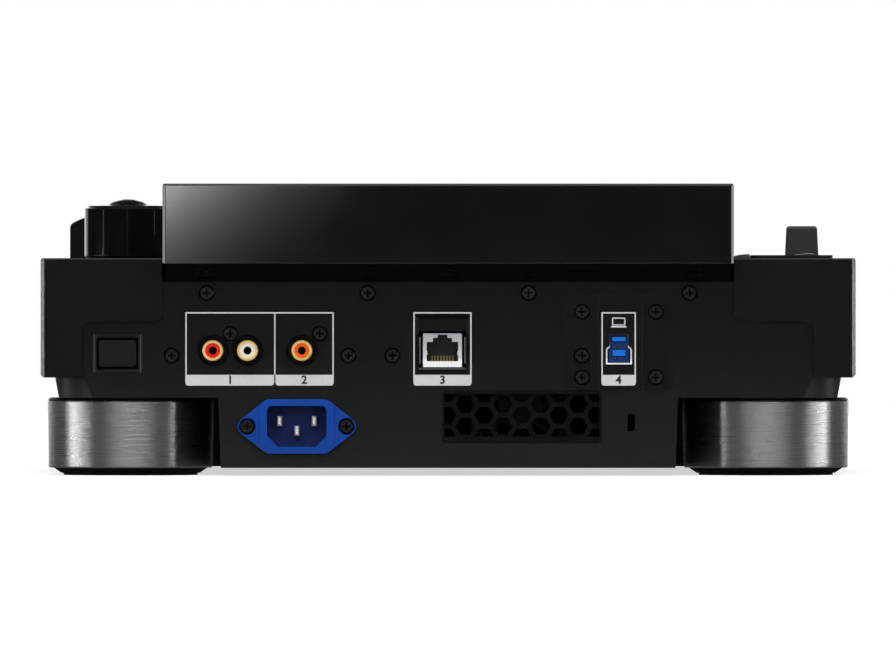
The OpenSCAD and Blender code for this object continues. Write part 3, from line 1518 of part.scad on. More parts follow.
// Small knob with a shaft that turns in the control board
module small_knob(x) {
  base_z = deck_z + 0.6;
  flutes = 18;
  color("#1a1a1a") translate([x, knob_y, 0]) {
    difference() {
      union() {
        translate([0, 0, base_z]) cylinder(r = knob_r, h = knob_rise - 0.6);
        translate([0, 0, base_z + knob_rise - 0.6 - eps]) cylinder(r1 = knob_r, r2 = knob_r - 0.6, h = 0.6);
      }
      for (i = [0 : flutes - 1])
        rotate(i * 360 / flutes) translate([knob_r + 0.5, 0, base_z + 1]) cylinder(r = 0.9, h = 20);
      translate([0, knob_r / 2, base_z + knob_rise]) cube([0.9, knob_r, 0.8], center = true);
    }
    translate([0, 0, control_top_z + 4.3]) cylinder(r = shaft_r, h = base_z - control_top_z - 4.3 + eps);
    translate([0, 0, control_top_z - board_t]) cylinder(r = shaft_r - 1, h = 8);
  }
}

module jog_adjust_knob() small_knob(jog_adjust_x);
module vinyl_speed_knob() small_knob(vinyl_speed_x);

// Channel of the tempo fader, hung from the deck by its end lugs
module fader_track() {
  track_d = tempo_travel + 36;
  lug_d = 5;
  color("#9a9c9f") difference() {
    union() {
      translate([tempo_x - track_w / 2, tempo_y - track_d / 2, track_z])
        cube([track_w, track_d, track_top - track_z]);
      for (sy = [-1, 1])
        translate([tempo_x, tempo_y + sy * (track_d / 2 - lug_d / 2), (track_z + deck_under) / 2])
          cube([track_w, lug_d, deck_under - track_z], center = true);
    }
    translate([tempo_x, tempo_y, (track_z + track_top) / 2])
      cube([track_w - 3, track_d - 12, track_top - track_z - 3], center = true);
    translate([tempo_x, tempo_y, track_top])
      cube([tempo_slot_w, tempo_travel + tempo_lever_d + 3, 6], center = true);
  }
}

module tempo_lever() {
  carriage_h = track_top - track_z - 3.4;
  color("#b0b2b5") {
    translate([tempo_x, tempo_y, track_z + 1.7 + carriage_h / 2])
      cube([track_w - 3.4, 14, carriage_h], center = true);
    translate([tempo_x - tempo_lever_t / 2, tempo_y - tempo_lever_d / 2, track_top - 2.2])
      cube([tempo_lever_t, tempo_lever_d, tempo_cap_top - 6 - track_top + 2.2]);
  }
}

module tempo_cap() {
  half = tempo_cap_w / 2;
  cap_h = tempo_cap_top - tempo_cap_z;
  crown_r = 28;
  side_ease = 0.8;
  saddle_r = 13;
  color("#181818") difference() {
    intersection() {
      translate([tempo_x, tempo_y + tempo_cap_d / 2, 0]) slab_y(0, tempo_cap_d) intersection() {
        polygon([
          [-half, tempo_cap_z], [half, tempo_cap_z], [half, tempo_cap_top - 5.3],
          [half - side_ease, tempo_cap_top - 3.9], [half - side_ease, tempo_cap_top],
          [side_ease - half, tempo_cap_top], [side_ease - half, tempo_cap_top - 3.9],
          [-half, tempo_cap_top - 5.3]
        ]);
        translate([0, tempo_cap_top - crown_r]) circle(crown_r, $fn = 128);
      }
      translate([tempo_x, tempo_y, 0]) slab_x(tempo_cap_w) polygon([
        [-tempo_cap_d / 2, tempo_cap_z], [tempo_cap_d / 2, tempo_cap_z],
        [tempo_cap_d / 2 - 1.6, tempo_cap_top + 1], [-tempo_cap_d / 2 + 1.6, tempo_cap_top + 1]
      ]);
    }
    translate([tempo_x, tempo_y, tempo_cap_top + saddle_r - 3]) rotate([0, 90, 0])
      cylinder(r = saddle_r, h = tempo_cap_w + 2, center = true, $fn = 96);
    translate([tempo_x, tempo_y, tempo_cap_z + (cap_h - 6) / 2 - 1])
      cube([tempo_lever_t + 0.1, tempo_lever_d + 0.1, cap_h - 4], center = true);
  }
}

// Direction lever: a tapered tab on a drum that turns on a pin between two ears
module direction_lever() {
  color("#161616") {
    difference() {
      union() {
        translate([lever_x, lever_y, drum_z]) rotate([0, 90, 0])
          cylinder(r = drum_r, h = lever_foot_w, center = true);
        translate([lever_x, lever_y + 3.2, 0]) intersection() {
          slab_y(0, 6.4) polygon([
            [-lever_foot_w / 2, drum_z], [lever_foot_w / 2, drum_z],
            [lever_tip_w / 2, lever_top - 0.8], [lever_tip_w / 2 - 0.8, lever_top],
            [-lever_tip_w / 2 + 0.8, lever_top], [-lever_tip_w / 2, lever_top - 0.8]
          ]);
          slab_x(40) polygon([
            [-6.4, drum_z], [0, drum_z], [0, deck_z + 3], [-1.4, lever_top - 1],
            [-2.2, lever_top], [-4.2, lever_top], [-5, lever_top - 1], [-6.4, deck_z + 3]
          ]);
        }
      }
      translate([lever_x, lever_y, drum_z - drum_r - 1]) cube([lever_foot_w + 2, 30, 10], center = true);
    }
    translate([lever_x, lever_y, drum_z]) rotate([0, 90, 0])
      cylinder(r = lever_pin_r, h = lever_foot_w + 1.2 + 2 * ear_t, center = true);
  }
}

// ---- Media port ----

// Raised plate with a USB-A socket and a card slot, in a pocket of the deck
module media_port() {
  plate_rise = 1.3;
  pocket_h = 20;
  color("#101010") difference() {
    union() {
      translate([media_x, media_y, deck_z]) rounded_plate(media_w, media_d, plate_rise, 2);
      translate([media_x, media_y, deck_z - pocket_h])
        rounded_plate(media_w - 6.4, media_d - 6.4, pocket_h + eps, 1.8);
    }
    translate([media_x, media_y + 14, deck_z - 14]) translate([0, 0, 10]) cube([6, 14, 24], center = true);
    translate([media_x, media_y - 12, deck_z - 14]) translate([0, 0, 10]) cube([3, 25, 24], center = true);
  }
}

top_cover();
bottom_pan();
rear_panel();
vent_grille();
usb_plate();
foot_shells();
foot_pads();
foot_screws();
panel_screws();
display_housing();
display_glass();
display_panel();
display_screws();
jack_housings();
jack_barrels();
jack_inserts();
lan_jack();
lan_insert();
usb_b_jack();
usb_b_insert();
ac_inlet();
ac_pins();
switch_guard();
main_board();
power_supply();
control_board();
fan_frame();
jog_base();
jog_display();
fader_track();
media_port();
disc_drive();
jog_wheel();
jog_plate();
tempo_lever();
tempo_cap();
selector_shaft();
selector_knob();
direction_lever();
jog_adjust_knob();
vinyl_speed_knob();
fan_rotor();
drive_turntable();
play_button();
cue_button();
power_button();
hot_cue_a();
hot_cue_b();
hot_cue_c();
hot_cue_d();
hot_cue_e();
hot_cue_f();
hot_cue_g();
hot_cue_h();
loop_in_button();
loop_out_button();
beat_sync_button();
master_button();
tempo_reset_button();
eject_button();
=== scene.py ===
"""Looks of the tabletop disc player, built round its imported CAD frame.

Lengths are metres in the CAD's frame: X across, Y towards the rear panel, Z up.
"""

import math

import bmesh
import bpy
from mathutils import Matrix, Vector


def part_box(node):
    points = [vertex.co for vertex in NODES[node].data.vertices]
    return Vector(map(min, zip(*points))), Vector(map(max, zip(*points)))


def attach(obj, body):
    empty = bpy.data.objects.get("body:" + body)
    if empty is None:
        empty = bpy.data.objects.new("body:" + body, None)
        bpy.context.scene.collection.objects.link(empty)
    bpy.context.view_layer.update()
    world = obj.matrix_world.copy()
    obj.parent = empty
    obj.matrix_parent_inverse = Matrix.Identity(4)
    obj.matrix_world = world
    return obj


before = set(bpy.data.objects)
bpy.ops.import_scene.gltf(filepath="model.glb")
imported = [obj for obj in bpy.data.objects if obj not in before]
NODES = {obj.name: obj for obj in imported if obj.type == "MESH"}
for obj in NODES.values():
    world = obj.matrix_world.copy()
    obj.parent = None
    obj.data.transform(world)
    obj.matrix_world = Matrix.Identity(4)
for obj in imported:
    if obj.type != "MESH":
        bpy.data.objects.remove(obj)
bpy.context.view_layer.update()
MM = 0.001
X_AXIS = Vector((1.0, 0.0, 0.0))
Y_AXIS = Vector((0.0, 1.0, 0.0))
Z_AXIS = Vector((0.0, 0.0, 1.0))

# Places that the CAD gives; a box is its lowest and its highest corner
PANEL_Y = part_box("rear_panel")[1].y
COVER_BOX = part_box("top_cover")
DISPLAY_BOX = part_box("display_housing")
LAN_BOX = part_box("lan_jack")
USB_PLATE_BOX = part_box("usb_plate")
KNOB_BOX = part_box("selector_knob")
FOOT_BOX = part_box("foot_shells")
JOG_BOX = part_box("jog_wheel")
USB_INSERT_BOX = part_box("usb_b_insert")
MEDIA_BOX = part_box("media_port")
GLASS_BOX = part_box("display_glass")

# The low crown of the cover beside the display: its height over the deck, sides and front; the sides and front
# also bound its painted highlight
CROWN_RISE = 1.65 * MM
CROWN_SIDES = (-121.9 * MM, -115.2 * MM)
CROWN_FRONT = 126.0 * MM
DECK_Z = COVER_BOX[1].z - CROWN_RISE

# Places where only a colour changes: phono centres, network contacts, USB tongues, rings over the feet
ORANGE_WHITE_X = 70.0 * MM
WHITE_RED_X = 87.9 * MM
CONTACT_PITCH = 1.2 * MM
USB_TONGUES = ((47.9 * MM, 51.0 * MM), (54.1 * MM, 55.9 * MM))
FOOT_RING_X = 94.0 * MM

# Printed label frames on the rear panel
INK = 0.06 * MM
LINE = 0.55 * MM
SHARP = 0.01 * MM
FRAME_TOP = 66.0 * MM
FRAME_BOTTOM = 36.35 * MM
BAND_TOP = 40.7 * MM
CHANNEL_Y = USB_PLATE_BOX[1].y - 0.7 * MM
SIGN_X = -68.85 * MM

HOT_KEYS = tuple(f"hot_cue_{letter}" for letter in "abcdefgh")
SMALL_KEYS = ("loop_in_button", "loop_out_button", "beat_sync_button", "master_button")

# Grain of surfaces, in waves per metre
PAINT_GRAIN = 2400.0
MOULD_GRAIN = 3200.0
KEY_GRAIN = 3600.0
FINE_GRAIN = 4200.0

# Studio: how bright mirrors see the room and its side walls
MIRRORED_DARK = 0.09
SIDE_WALLS = 0.06

# The bright sheet behind the camera, which mirrors see. SHEEN_EDGE is a place (x, z) on its slanting edge,
# SHEEN_PEAK its brightest place, and SHEEN_FALL the way over which its light falls to a third.
SHEEN_Y = 6.24
SHEEN_FAR_X = 0.236
SHEEN_HEIGHTS = (0.30, 0.04)
SHEEN_EDGE = (81.7 * MM, 177.0 * MM)
SHEEN_LEAN = 0.466
SHEEN_PEAK = (228.0 * MM, 177.0 * MM)
SHEEN_FALL = (42.0 * MM, 34.0 * MM)

# Azimuths in degrees between which the strips stand; the nested ones give each glow a soft edge
SIDE_STRIPS = ((56, 98), (64, 93), (72, 88))
CENTRE_STRIPS = (34, 26, 18)

# The camera looks from behind, square to the rear panel
CAMERA_AWAY = 6.0
CAMERA_PLACE = (0.06 * MM, PANEL_Y + CAMERA_AWAY, 59.2 * MM)
SENSOR = 36.0
LENS = 597.13


# ---- Material graphs ----


class Graph:
    """Shader nodes of one material or world."""

    def __init__(self, tree):
        self.tree = tree
        self.tree.nodes.clear()

    def add(self, kind, **values):
        node = self.tree.nodes.new(kind)
        for key, value in values.items():
            setattr(node, key, value)
        return node

    def join(self, source, target):
        self.tree.links.new(source, target)

    def put(self, target, value):
        """Sets a socket to a number, or joins another node's output to it."""
        if isinstance(value, (int, float, tuple)):
            target.default_value = value
        else:
            self.join(value, target)

    def math(self, operation, first, second=0.0, third=0.0):
        node = self.add("ShaderNodeMath", operation=operation)
        for index, value in enumerate((first, second, third)):
            self.put(node.inputs[index], value)
        return node.outputs[0]

    def product(self, first, *others):
        for other in others:
            first = self.math("MULTIPLY", first, other)
        return first

    def within(self, value, low, high):
        """1 where low < value < high, else 0."""
        return self.product(self.math("GREATER_THAN", value, low), self.math("LESS_THAN", value, high))

    def length(self, x, y):
        return self.math("SQRT", self.math("ADD", self.product(x, x), self.product(y, y)))

    def split(self, vector):
        """The three parts of a vector."""
        node = self.add("ShaderNodeSeparateXYZ")
        self.join(vector, node.inputs[0])
        return node.outputs[0], node.outputs[1], node.outputs[2]

    def remap(self, value, low, high, start=0.3, end=0.7, smooth=False):
        """Takes start..end to low..high, and stays there beyond them."""
        node = self.add("ShaderNodeMapRange")
        node.interpolation_type = "SMOOTHSTEP" if smooth else "LINEAR"
        self.join(value, node.inputs["Value"])
        node.inputs["From Min"].default_value = start
        node.inputs["From Max"].default_value = end
        node.inputs["To Min"].default_value = low
        node.inputs["To Max"].default_value = high
        return node.outputs[0]

    def choose(self, share, first, second):
        """The first shader where share is 0, the second where it is 1."""
        node = self.add("ShaderNodeMixShader")
        for index, source in enumerate((share, first, second)):
            self.join(source, node.inputs[index])
        return node.outputs[0]


class Finish(Graph):
    """One procedural material, grown from its Principled shader."""

    def __init__(self, name, colour, rough, metal=0.0, specular=0.5):
        self.name = name
        self.material = bpy.data.materials.new(name)
        self.material.use_nodes = True
        super().__init__(self.material.node_tree)
        self.out = self.add("ShaderNodeOutputMaterial")
        self.shader = self.add("ShaderNodeBsdfPrincipled")
        self.join(self.shader.outputs["BSDF"], self.out.inputs["Surface"])
        self.place = self.add("ShaderNodeTexCoord").outputs["Object"]
        self.normal = None
        self.set("Base Color", (*colour, 1.0))
        self.set("Roughness", rough)
        self.set("Metallic", metal)
        self.set("Specular IOR Level", specular)

    def set(self, socket, value):
        self.shader.inputs[socket].default_value = value

    def feed(self, socket, source):
        self.join(source, self.shader.inputs[socket])

    def over(self, share, colour):
        """Lays a colour over the present one where share is 1."""
        present = self.shader.inputs["Base Color"].links[0].from_socket
        self.feed("Base Color", self.mix(share, present, colour))

    def axes(self):
        """The three coordinates of the place on the part."""
        return self.split(self.place)

    def stretched(self, x, y, z):
        node = self.add("ShaderNodeMapping")
        self.join(self.place, node.inputs["Vector"])
        node.inputs["Scale"].default_value = (x, y, z)
        return node.outputs[0]

    def noise(self, scale, detail=3.0, place=None, rough=0.5):
        node = self.add("ShaderNodeTexNoise")
        self.join(place or self.place, node.inputs["Vector"])
        node.inputs["Scale"].default_value = scale
        node.inputs["Detail"].default_value = detail
        node.inputs["Roughness"].default_value = rough
        return node.outputs["Fac"]

    def ramp(self, value, *stops, step=False):
        """Colour that follows value through (position, colour) stops."""
        node = self.add("ShaderNodeValToRGB")
        node.color_ramp.interpolation = "CONSTANT" if step else "LINEAR"
        elements = node.color_ramp.elements
        while len(elements) < len(stops):
            elements.new(0.5)
        for element, (position, colour) in zip(elements, stops):
            element.position = position
            element.color = (*colour, 1.0)
        self.join(value, node.inputs[0])
        return node.outputs[0]

    def mix(self, share, first, second):
        node = self.add("ShaderNodeMix", data_type="RGBA")
        self.put(node.inputs[0], share)
        for socket, value in ((node.inputs[6], first), (node.inputs[7], second)):
            if isinstance(value, tuple):
                value = (*value, 1.0)
            self.put(socket, value)
        return node.outputs[2]

    def rounded(self, radius):
        """The normal as it would be with sharp edges rounded by radius."""
        node = self.add("ShaderNodeBevel", samples=4)
        node.inputs["Radius"].default_value = radius
        return node.outputs[0]

    def ease(self, radius):
        """Softens the look of sharp edges by radius."""
        self.normal = self.rounded(radius)
        self.feed("Normal", self.normal)

    def slant(self):
        """0 on faces square to an axis, above 0.2 on chamfers."""
        parts = self.split(self.add("ShaderNodeNewGeometry").outputs["True Normal"])
        sizes = [self.math("ABSOLUTE", part) for part in parts]
        largest = self.math("MAXIMUM", self.math("MAXIMUM", sizes[0], sizes[1]), sizes[2])
        return self.math("SUBTRACT", 1.0, largest)

    def edge_share(self, radius):
        """0 on flat faces, towards 1 along sharp edges."""
        dot = self.add("ShaderNodeVectorMath", operation="DOT_PRODUCT")
        self.join(self.rounded(radius), dot.inputs[0])
        self.join(self.add("ShaderNodeNewGeometry").outputs["Normal"], dot.inputs[1])
        return self.remap(dot.outputs["Value"], 1.0, 0.0, 0.75, 0.99)

    def bump(self, height, distance):
        node = self.add("ShaderNodeBump")
        node.inputs["Strength"].default_value = 1.0
        node.inputs["Distance"].default_value = distance
        self.join(height, node.inputs["Height"])
        if self.normal is not None:
            self.join(self.normal, node.inputs["Normal"])
        self.normal = node.outputs[0]
        self.feed("Normal", self.normal)


def middle(box):
    return (box[0] + box[1]) / 2


def grey(value):
    return (value, value, value)


def tint(colour, factor):
    return tuple(min(1.0, channel * factor) for channel in colour)


def grained(name, colour, rough, grain=MOULD_GRAIN, depth=0.02, ease=0.25, edge_highlight=1.6, chamfer=None,
            specular=0.5):
    """Moulded or painted surface: fine grain, uneven gloss, edges painted paler as a painted highlight,
    smoother chamfers.

    The grain's depth and the radius that eases the edges are in millimetres; the factor after ease is how much
    paler the painted highlight makes the edges.
    """
    made = Finish(name, colour, rough, specular=specular)
    made.ease(ease * MM)
    patches = made.noise(60.0, 4.0)
    fine = made.noise(grain, 2.0)
    base = made.ramp(patches, (0.3, tint(colour, 0.9)), (0.7, tint(colour, 1.1)))
    # Painted highlight: sharp edges get a paler colour than the face
    edges = made.edge_share(1.6 * ease * MM)
    made.feed("Base Color", made.mix(edges, base, tint(colour, edge_highlight)))
    uneven = made.remap(patches, -0.03, 0.03)
    spread = made.math("ADD", uneven, made.remap(fine, rough - 0.05, rough + 0.05))
    if chamfer is not None:
        spread = made.math("ADD", spread, made.remap(made.slant(), 0.0, chamfer - rough, 0.05, 0.2))
    made.feed("Roughness", spread)
    made.bump(fine, depth * MM)
    return made


def polished(name, colour, rough, ease=0.3, specular=0.5):
    """Gloss plastic or glass: nearly even, with faint haze and long soft waves."""
    made = Finish(name, colour, rough, specular=specular)
    made.ease(ease * MM)
    haze = made.noise(35.0, 5.0, rough=0.6)
    made.feed("Roughness", made.remap(haze, rough * 0.7, rough * 1.5))
    made.feed("Base Color", made.ramp(haze, (0.35, tint(colour, 0.92)), (0.7, tint(colour, 1.08))))
    made.bump(made.noise(14.0, 1.0), 0.004 * MM)
    return made


def plated(name, colour, rough, metal=1.0, ease=0.15, specular=0.5):
    """Bright or blackened metal with fine rolling marks and a duller film in places."""
    made = Finish(name, colour, rough, metal, specular)
    made.ease(ease * MM)
    film = made.noise(180.0, 4.0)
    marks = made.noise(1.0, 3.0, made.stretched(1800.0, 216.0, 900.0))
    made.feed("Base Color", made.ramp(film, (0.3, tint(colour, 0.86)), (0.7, tint(colour, 1.06))))
    spread = made.math("ADD", made.remap(film, 0.0, 0.08), made.remap(marks, rough - 0.04, rough + 0.05))
    made.feed("Roughness", spread)
    made.bump(marks, 0.004 * MM)
    return made


def printed(name, colour, dark, pale, depth=0.0):
    """Screen-printed ink: matt, very slightly uneven."""
    made = Finish(name, colour, 0.6)
    ink = made.noise(1400.0, 3.0)
    made.feed("Base Color", made.ramp(ink, (0.3, dark), (0.7, pale)))
    made.feed("Roughness", made.remap(ink, 0.5, 0.7))
    if depth:
        made.bump(ink, depth * MM)
    return made


def lit_key(name, colour):
    """Translucent ring or bar of a lit key, shown unlit."""
    made = polished(name, colour, 0.3, ease=0.1)
    made.set("Coat Weight", 0.3)
    return made


# ---- Materials by the record's slots ----


def body_black():
    """Moulded cover; the crown beside the display is painted paler, a painted highlight on its slope."""
    made = grained("body_black", (0.0016, 0.0016, 0.0017), 0.42, chamfer=0.07, specular=0.28)
    across, along, up = made.axes()
    beside = made.within(across, *CROWN_SIDES)
    raised = made.math("GREATER_THAN", up, DECK_Z + 0.1 * MM)
    behind = made.math("GREATER_THAN", along, CROWN_FRONT)
    # Painted highlight on the crown beside the display
    made.over(made.product(beside, raised, behind), (0.05, 0.05, 0.052))
    return made


def panel_black():
    """Painted rear panel, a little paler towards its foot: painted shade that leaves its top darker, under the
    display.
    """
    made = grained("panel_black", (0.0022, 0.0022, 0.0023), 0.45, grain=PAINT_GRAIN, depth=0.03,
                   specular=0.29)
    # Painted shade: darker towards the top of the panel, paler towards its foot
    made.over(made.remap(made.axes()[2], 1.0, 0.0, 4.0 * MM, 55.0 * MM), (0.0085, 0.0085, 0.0086))
    return made


def pan_grey():
    """Painted pan, with the dark ring that spaces each foot from it."""
    made = grained("pan_grey", (0.0118, 0.0118, 0.0121), 0.42, grain=PAINT_GRAIN, depth=0.025,
                   specular=0.36)
    across, _, up = made.axes()
    low = made.math("LESS_THAN", up, FOOT_BOX[1].z + 0.45 * MM)
    outside = made.math("GREATER_THAN", made.math("ABSOLUTE", across), FOOT_RING_X)
    made.over(made.product(low, outside), grey(0.0015))
    return made


def foot_metal():
    """Turned metal cup: fine rings round the axis, brushed so that light runs up and down."""
    made = Finish("foot_metal", (0.6, 0.6, 0.61), 0.3, 1.0)
    made.ease(0.3 * MM)
    rings = made.noise(1.0, 4.0, made.stretched(30.0, 30.0, 5200.0), rough=0.65)
    broad = made.noise(1.0, 2.0, made.stretched(22.0, 22.0, 420.0))
    turned = made.ramp(rings, (0.25, (0.5, 0.5, 0.51)), (0.75, (0.68, 0.68, 0.69)))
    made.feed("Base Color", made.mix(made.remap(broad, 0.0, 0.5), turned, (0.62, 0.62, 0.63)))
    made.feed("Roughness", made.remap(rings, 0.24, 0.36))
    made.set("Anisotropic", 0.82)
    made.set("Anisotropic Rotation", 0.25)
    around_axis = made.add("ShaderNodeVectorMath", operation="CROSS_PRODUCT")
    made.join(made.add("ShaderNodeNewGeometry").outputs["Normal"], around_axis.inputs[0])
    around_axis.inputs[1].default_value = Z_AXIS
    made.feed("Tangent", around_axis.outputs[0])
    made.bump(rings, 0.003 * MM)
    return made


def insert_colours():
    """Phono centres, coloured by their place along the panel: orange, white and red; painted shade turns them
    near-black deep inside the jacks.
    """
    made = Finish("insert_colours", (0.56, 0.05, 0.03), 0.34, specular=0.05)
    across, along, _ = made.axes()
    start, end = 40.0 * MM, 110.0 * MM
    jacks = made.ramp(
        made.remap(across, 0.0, 1.0, start, end),
        (0.0, (0.79, 0.115, 0.004)),
        ((ORANGE_WHITE_X - start) / (end - start), (0.78, 0.76, 0.7)),
        ((WHITE_RED_X - start) / (end - start), (0.71, 0.014, 0.012)),
        step=True,
    )
    mottle = made.noise(900.0, 2.0)
    made.feed("Base Color", made.mix(made.remap(mottle, 0.0, 0.006), jacks, (0.9, 0.9, 0.88)))
    # Painted shade: near-black deeper inside the jacks
    made.over(made.remap(along, 1.0, 0.0, PANEL_Y + 5.2 * MM, PANEL_Y + 5.9 * MM), grey(0.0004))
    made.feed("Roughness", made.remap(mottle, 0.28, 0.42))
    made.ease(0.12 * MM)
    made.bump(mottle, 0.006 * MM)
    return made


def shield():
    """Plated shield of the network jack, with a painted reflection that runs from pale at its foot to dark at
    its top, and with its springs at both sides.
    """
    made = plated("shield", (0.82, 0.82, 0.84), 0.42, metal=0.12, ease=0.12)
    across, _, up = made.axes()
    # Painted reflection: pale over the shield's lower part, darkening towards its top
    made.over(0.75, made.ramp(
        made.remap(up, 0.0, 1.0, 43.0 * MM, 58.0 * MM),
        (0.0, grey(0.93)),
        (0.24, grey(0.93)),
        (0.3, (0.6, 0.6, 0.61)),
        (1.0, (0.2, 0.195, 0.225)),
    ))
    aside = made.math("ABSOLUTE", made.math("SUBTRACT", across, middle(LAN_BOX).x))
    flank = made.within(aside, 7.95 * MM, 12.0 * MM)
    spring = made.within(aside, 8.75 * MM, 9.3 * MM)
    made.over(flank, made.mix(spring, grey(0.004), (0.16, 0.16, 0.165)))
    return made


def port_black():
    """Dark moulding with its gold contacts, which lie in one band of the network jack."""
    made = grained("port_black", (0.012, 0.012, 0.0115), 0.45, grain=FINE_GRAIN, depth=0.01, ease=0.1)
    across, along, up = made.axes()
    aside = made.math("SUBTRACT", across, middle(LAN_BOX).x)
    step = made.math("FRACT", made.math("ADD", made.math("DIVIDE", aside, CONTACT_PITCH), 40.0))
    stripe = made.within(step, 0.27, 0.73)
    field = made.within(aside, -4.8 * MM, 4.8 * MM)
    band = made.within(up, LAN_BOX[0].z + 2.2 * MM, LAN_BOX[0].z + 4.6 * MM)
    inside = made.math("LESS_THAN", along, PANEL_Y - 1.2 * MM)
    made.over(made.product(stripe, field, band, inside), (0.24, 0.18, 0.04))
    return made


def usb_blue():
    """Dark blue moulding with the two brighter tongues, which face the plug."""
    made = grained("usb_blue", (0.005, 0.036, 0.16), 0.4, grain=FINE_GRAIN, depth=0.01, ease=0.12,
                   specular=0.12)
    across, along, up = made.axes()
    centre = middle(USB_INSERT_BOX).x
    beside = made.within(across, centre - 2.65 * MM, centre + 2.65 * MM)
    low, high = (made.within(up, *heights) for heights in USB_TONGUES)
    front = made.math("GREATER_THAN", along, USB_INSERT_BOX[1].y - 1.2 * MM)
    made.over(made.product(beside, front, made.math("ADD", low, high)), (0.001, 0.16, 0.68))
    return made


def inlet_blue():
    """Blue moulding of the mains inlet; the socket's inside is painted darker and a little violet, as painted
    shade.
    """
    made = grained("inlet_blue", (0.001, 0.047, 0.3), 0.42, grain=3800.0, depth=0.012, ease=0.3, edge_highlight=1.3,
                   specular=0.12)
    # Painted shade inside the socket, deeper than the panel's face
    inner = made.remap(made.axes()[1], 1.0, 0.0, PANEL_Y + 0.2 * MM, PANEL_Y + 1.4 * MM)
    made.over(inner, (0.006, 0.016, 0.11))
    return made


def pcb():
    """Green board whose edge at the rear panel is painted dark, as painted shade inside the chassis."""
    made = grained("pcb", (0.012, 0.1, 0.035), 0.4, grain=900.0)
    # Painted shade on the board near the rear panel
    made.over(made.math("GREATER_THAN", made.axes()[1], PANEL_Y - 4.2 * MM), grey(0.002))
    return made


def jog_metal():
    """Anodised plate brushed in circles round the jog wheel's axis."""
    made = Finish("jog_metal", (0.12, 0.122, 0.127), 0.32, 0.9)
    made.ease(0.3 * MM)
    x, y, _ = made.axes()
    from_x = made.math("SUBTRACT", x, middle(JOG_BOX).x)
    from_y = made.math("SUBTRACT", y, middle(JOG_BOX).y)
    circles = made.add("ShaderNodeCombineXYZ")
    made.join(made.product(made.length(from_x, from_y), 4200.0), circles.inputs[0])
    rings = made.noise(1.0, 3.0, circles.outputs[0])
    made.feed("Base Color", made.ramp(rings, (0.3, (0.085, 0.087, 0.09)), (0.7, (0.15, 0.152, 0.158))))
    made.feed("Roughness", made.remap(rings, 0.26, 0.4))
    made.bump(rings, 0.004 * MM)
    return made


def shade_black():
    """Painted shade: near-black sheet for the bottom of a narrow gap or recess."""
    made = Finish("shade_black", grey(0.0003), 0.9, specular=0.02)
    speckle = made.noise(900.0, 2.0)
    made.feed("Base Color", made.ramp(speckle, (0.3, grey(0.0002)), (0.7, grey(0.0006))))
    made.bump(speckle, 0.004 * MM)
    return made


SLOT_FINISHES = (
    body_black(), panel_black(), pan_grey(), foot_metal(), insert_colours(), shield(), port_black(),
    usb_blue(), inlet_blue(), pcb(), jog_metal(),
    polished("gloss_black", (0.003, 0.003, 0.0033), 0.02, ease=0.5),
    polished("screen_glass", (0.0025, 0.0026, 0.003), 0.03),
    grained("screen_module", (0.006, 0.007, 0.008), 0.4),
    grained("foot_rubber", (0.0015, 0.0015, 0.0016), 0.8, grain=5200.0, depth=0.03, specular=0.2),
    plated("screw_black", (0.0032, 0.0032, 0.0034), 0.26, metal=0.0, ease=0.1, specular=0.3),
    plated("screw_steel", (0.5, 0.5, 0.51), 0.32),
    grained("jack_black", grey(0.0003), 0.34, grain=FINE_GRAIN, depth=0.01, specular=0.12),
    plated("gold", (0.94, 0.62, 0.22), 0.26, metal=0.35, ease=0.1),
    plated("pin_metal", (0.9, 0.9, 0.92), 0.3, metal=0.5, ease=0.1),
    grained("fan_black", (0.0007, 0.0007, 0.0008), 0.6, specular=0.12),
    plated("sheet_steel", (0.42, 0.43, 0.44), 0.38),
    grained("jog_black", (0.008, 0.008, 0.0085), 0.34, grain=FINE_GRAIN, depth=0.008, ease=0.3),
    grained("knob_black", (0.0024, 0.0024, 0.0025), 0.3, grain=FINE_GRAIN, depth=0.004, ease=0.7,
            specular=0.24),
    grained("key_grey", (0.035, 0.036, 0.038), 0.55, grain=KEY_GRAIN),
    grained("key_dark", (0.009, 0.009, 0.0093), 0.42, grain=KEY_GRAIN, depth=0.012),
    plated("spindle_metal", (0.5, 0.5, 0.51), 0.3),
)
FINISH = {made.name: made for made in SLOT_FINISHES}

# Materials of the pieces made here
WHITE_INK = printed("printed_white", grey(0.6), grey(0.57), (0.64, 0.64, 0.635), depth=0.006).material
BLACK_INK = printed("printed_black", grey(0.012), grey(0.01), grey(0.015)).material
# Grey for print, and for the painted highlights beside the power button and in the network jack
GREY_INK_AND_HIGHLIGHT = grained("grey_ink_and_highlight", (0.06, 0.062, 0.066), 0.5).material
LIGHT_BAR = lit_key("light_bar", (0.3, 0.31, 0.32)).material
PLAY_GREEN = lit_key("play_green", (0.012, 0.16, 0.045)).material
CUE_AMBER = lit_key("cue_amber", (0.42, 0.15, 0.012)).material
# Near-black for the sheets of painted shade in gaps and recesses
SHADE_BLACK = shade_black().material
DULL_GOLD = plated("dull_gold", (0.06, 0.045, 0.015), 0.4, metal=0.3, ease=0.05).material

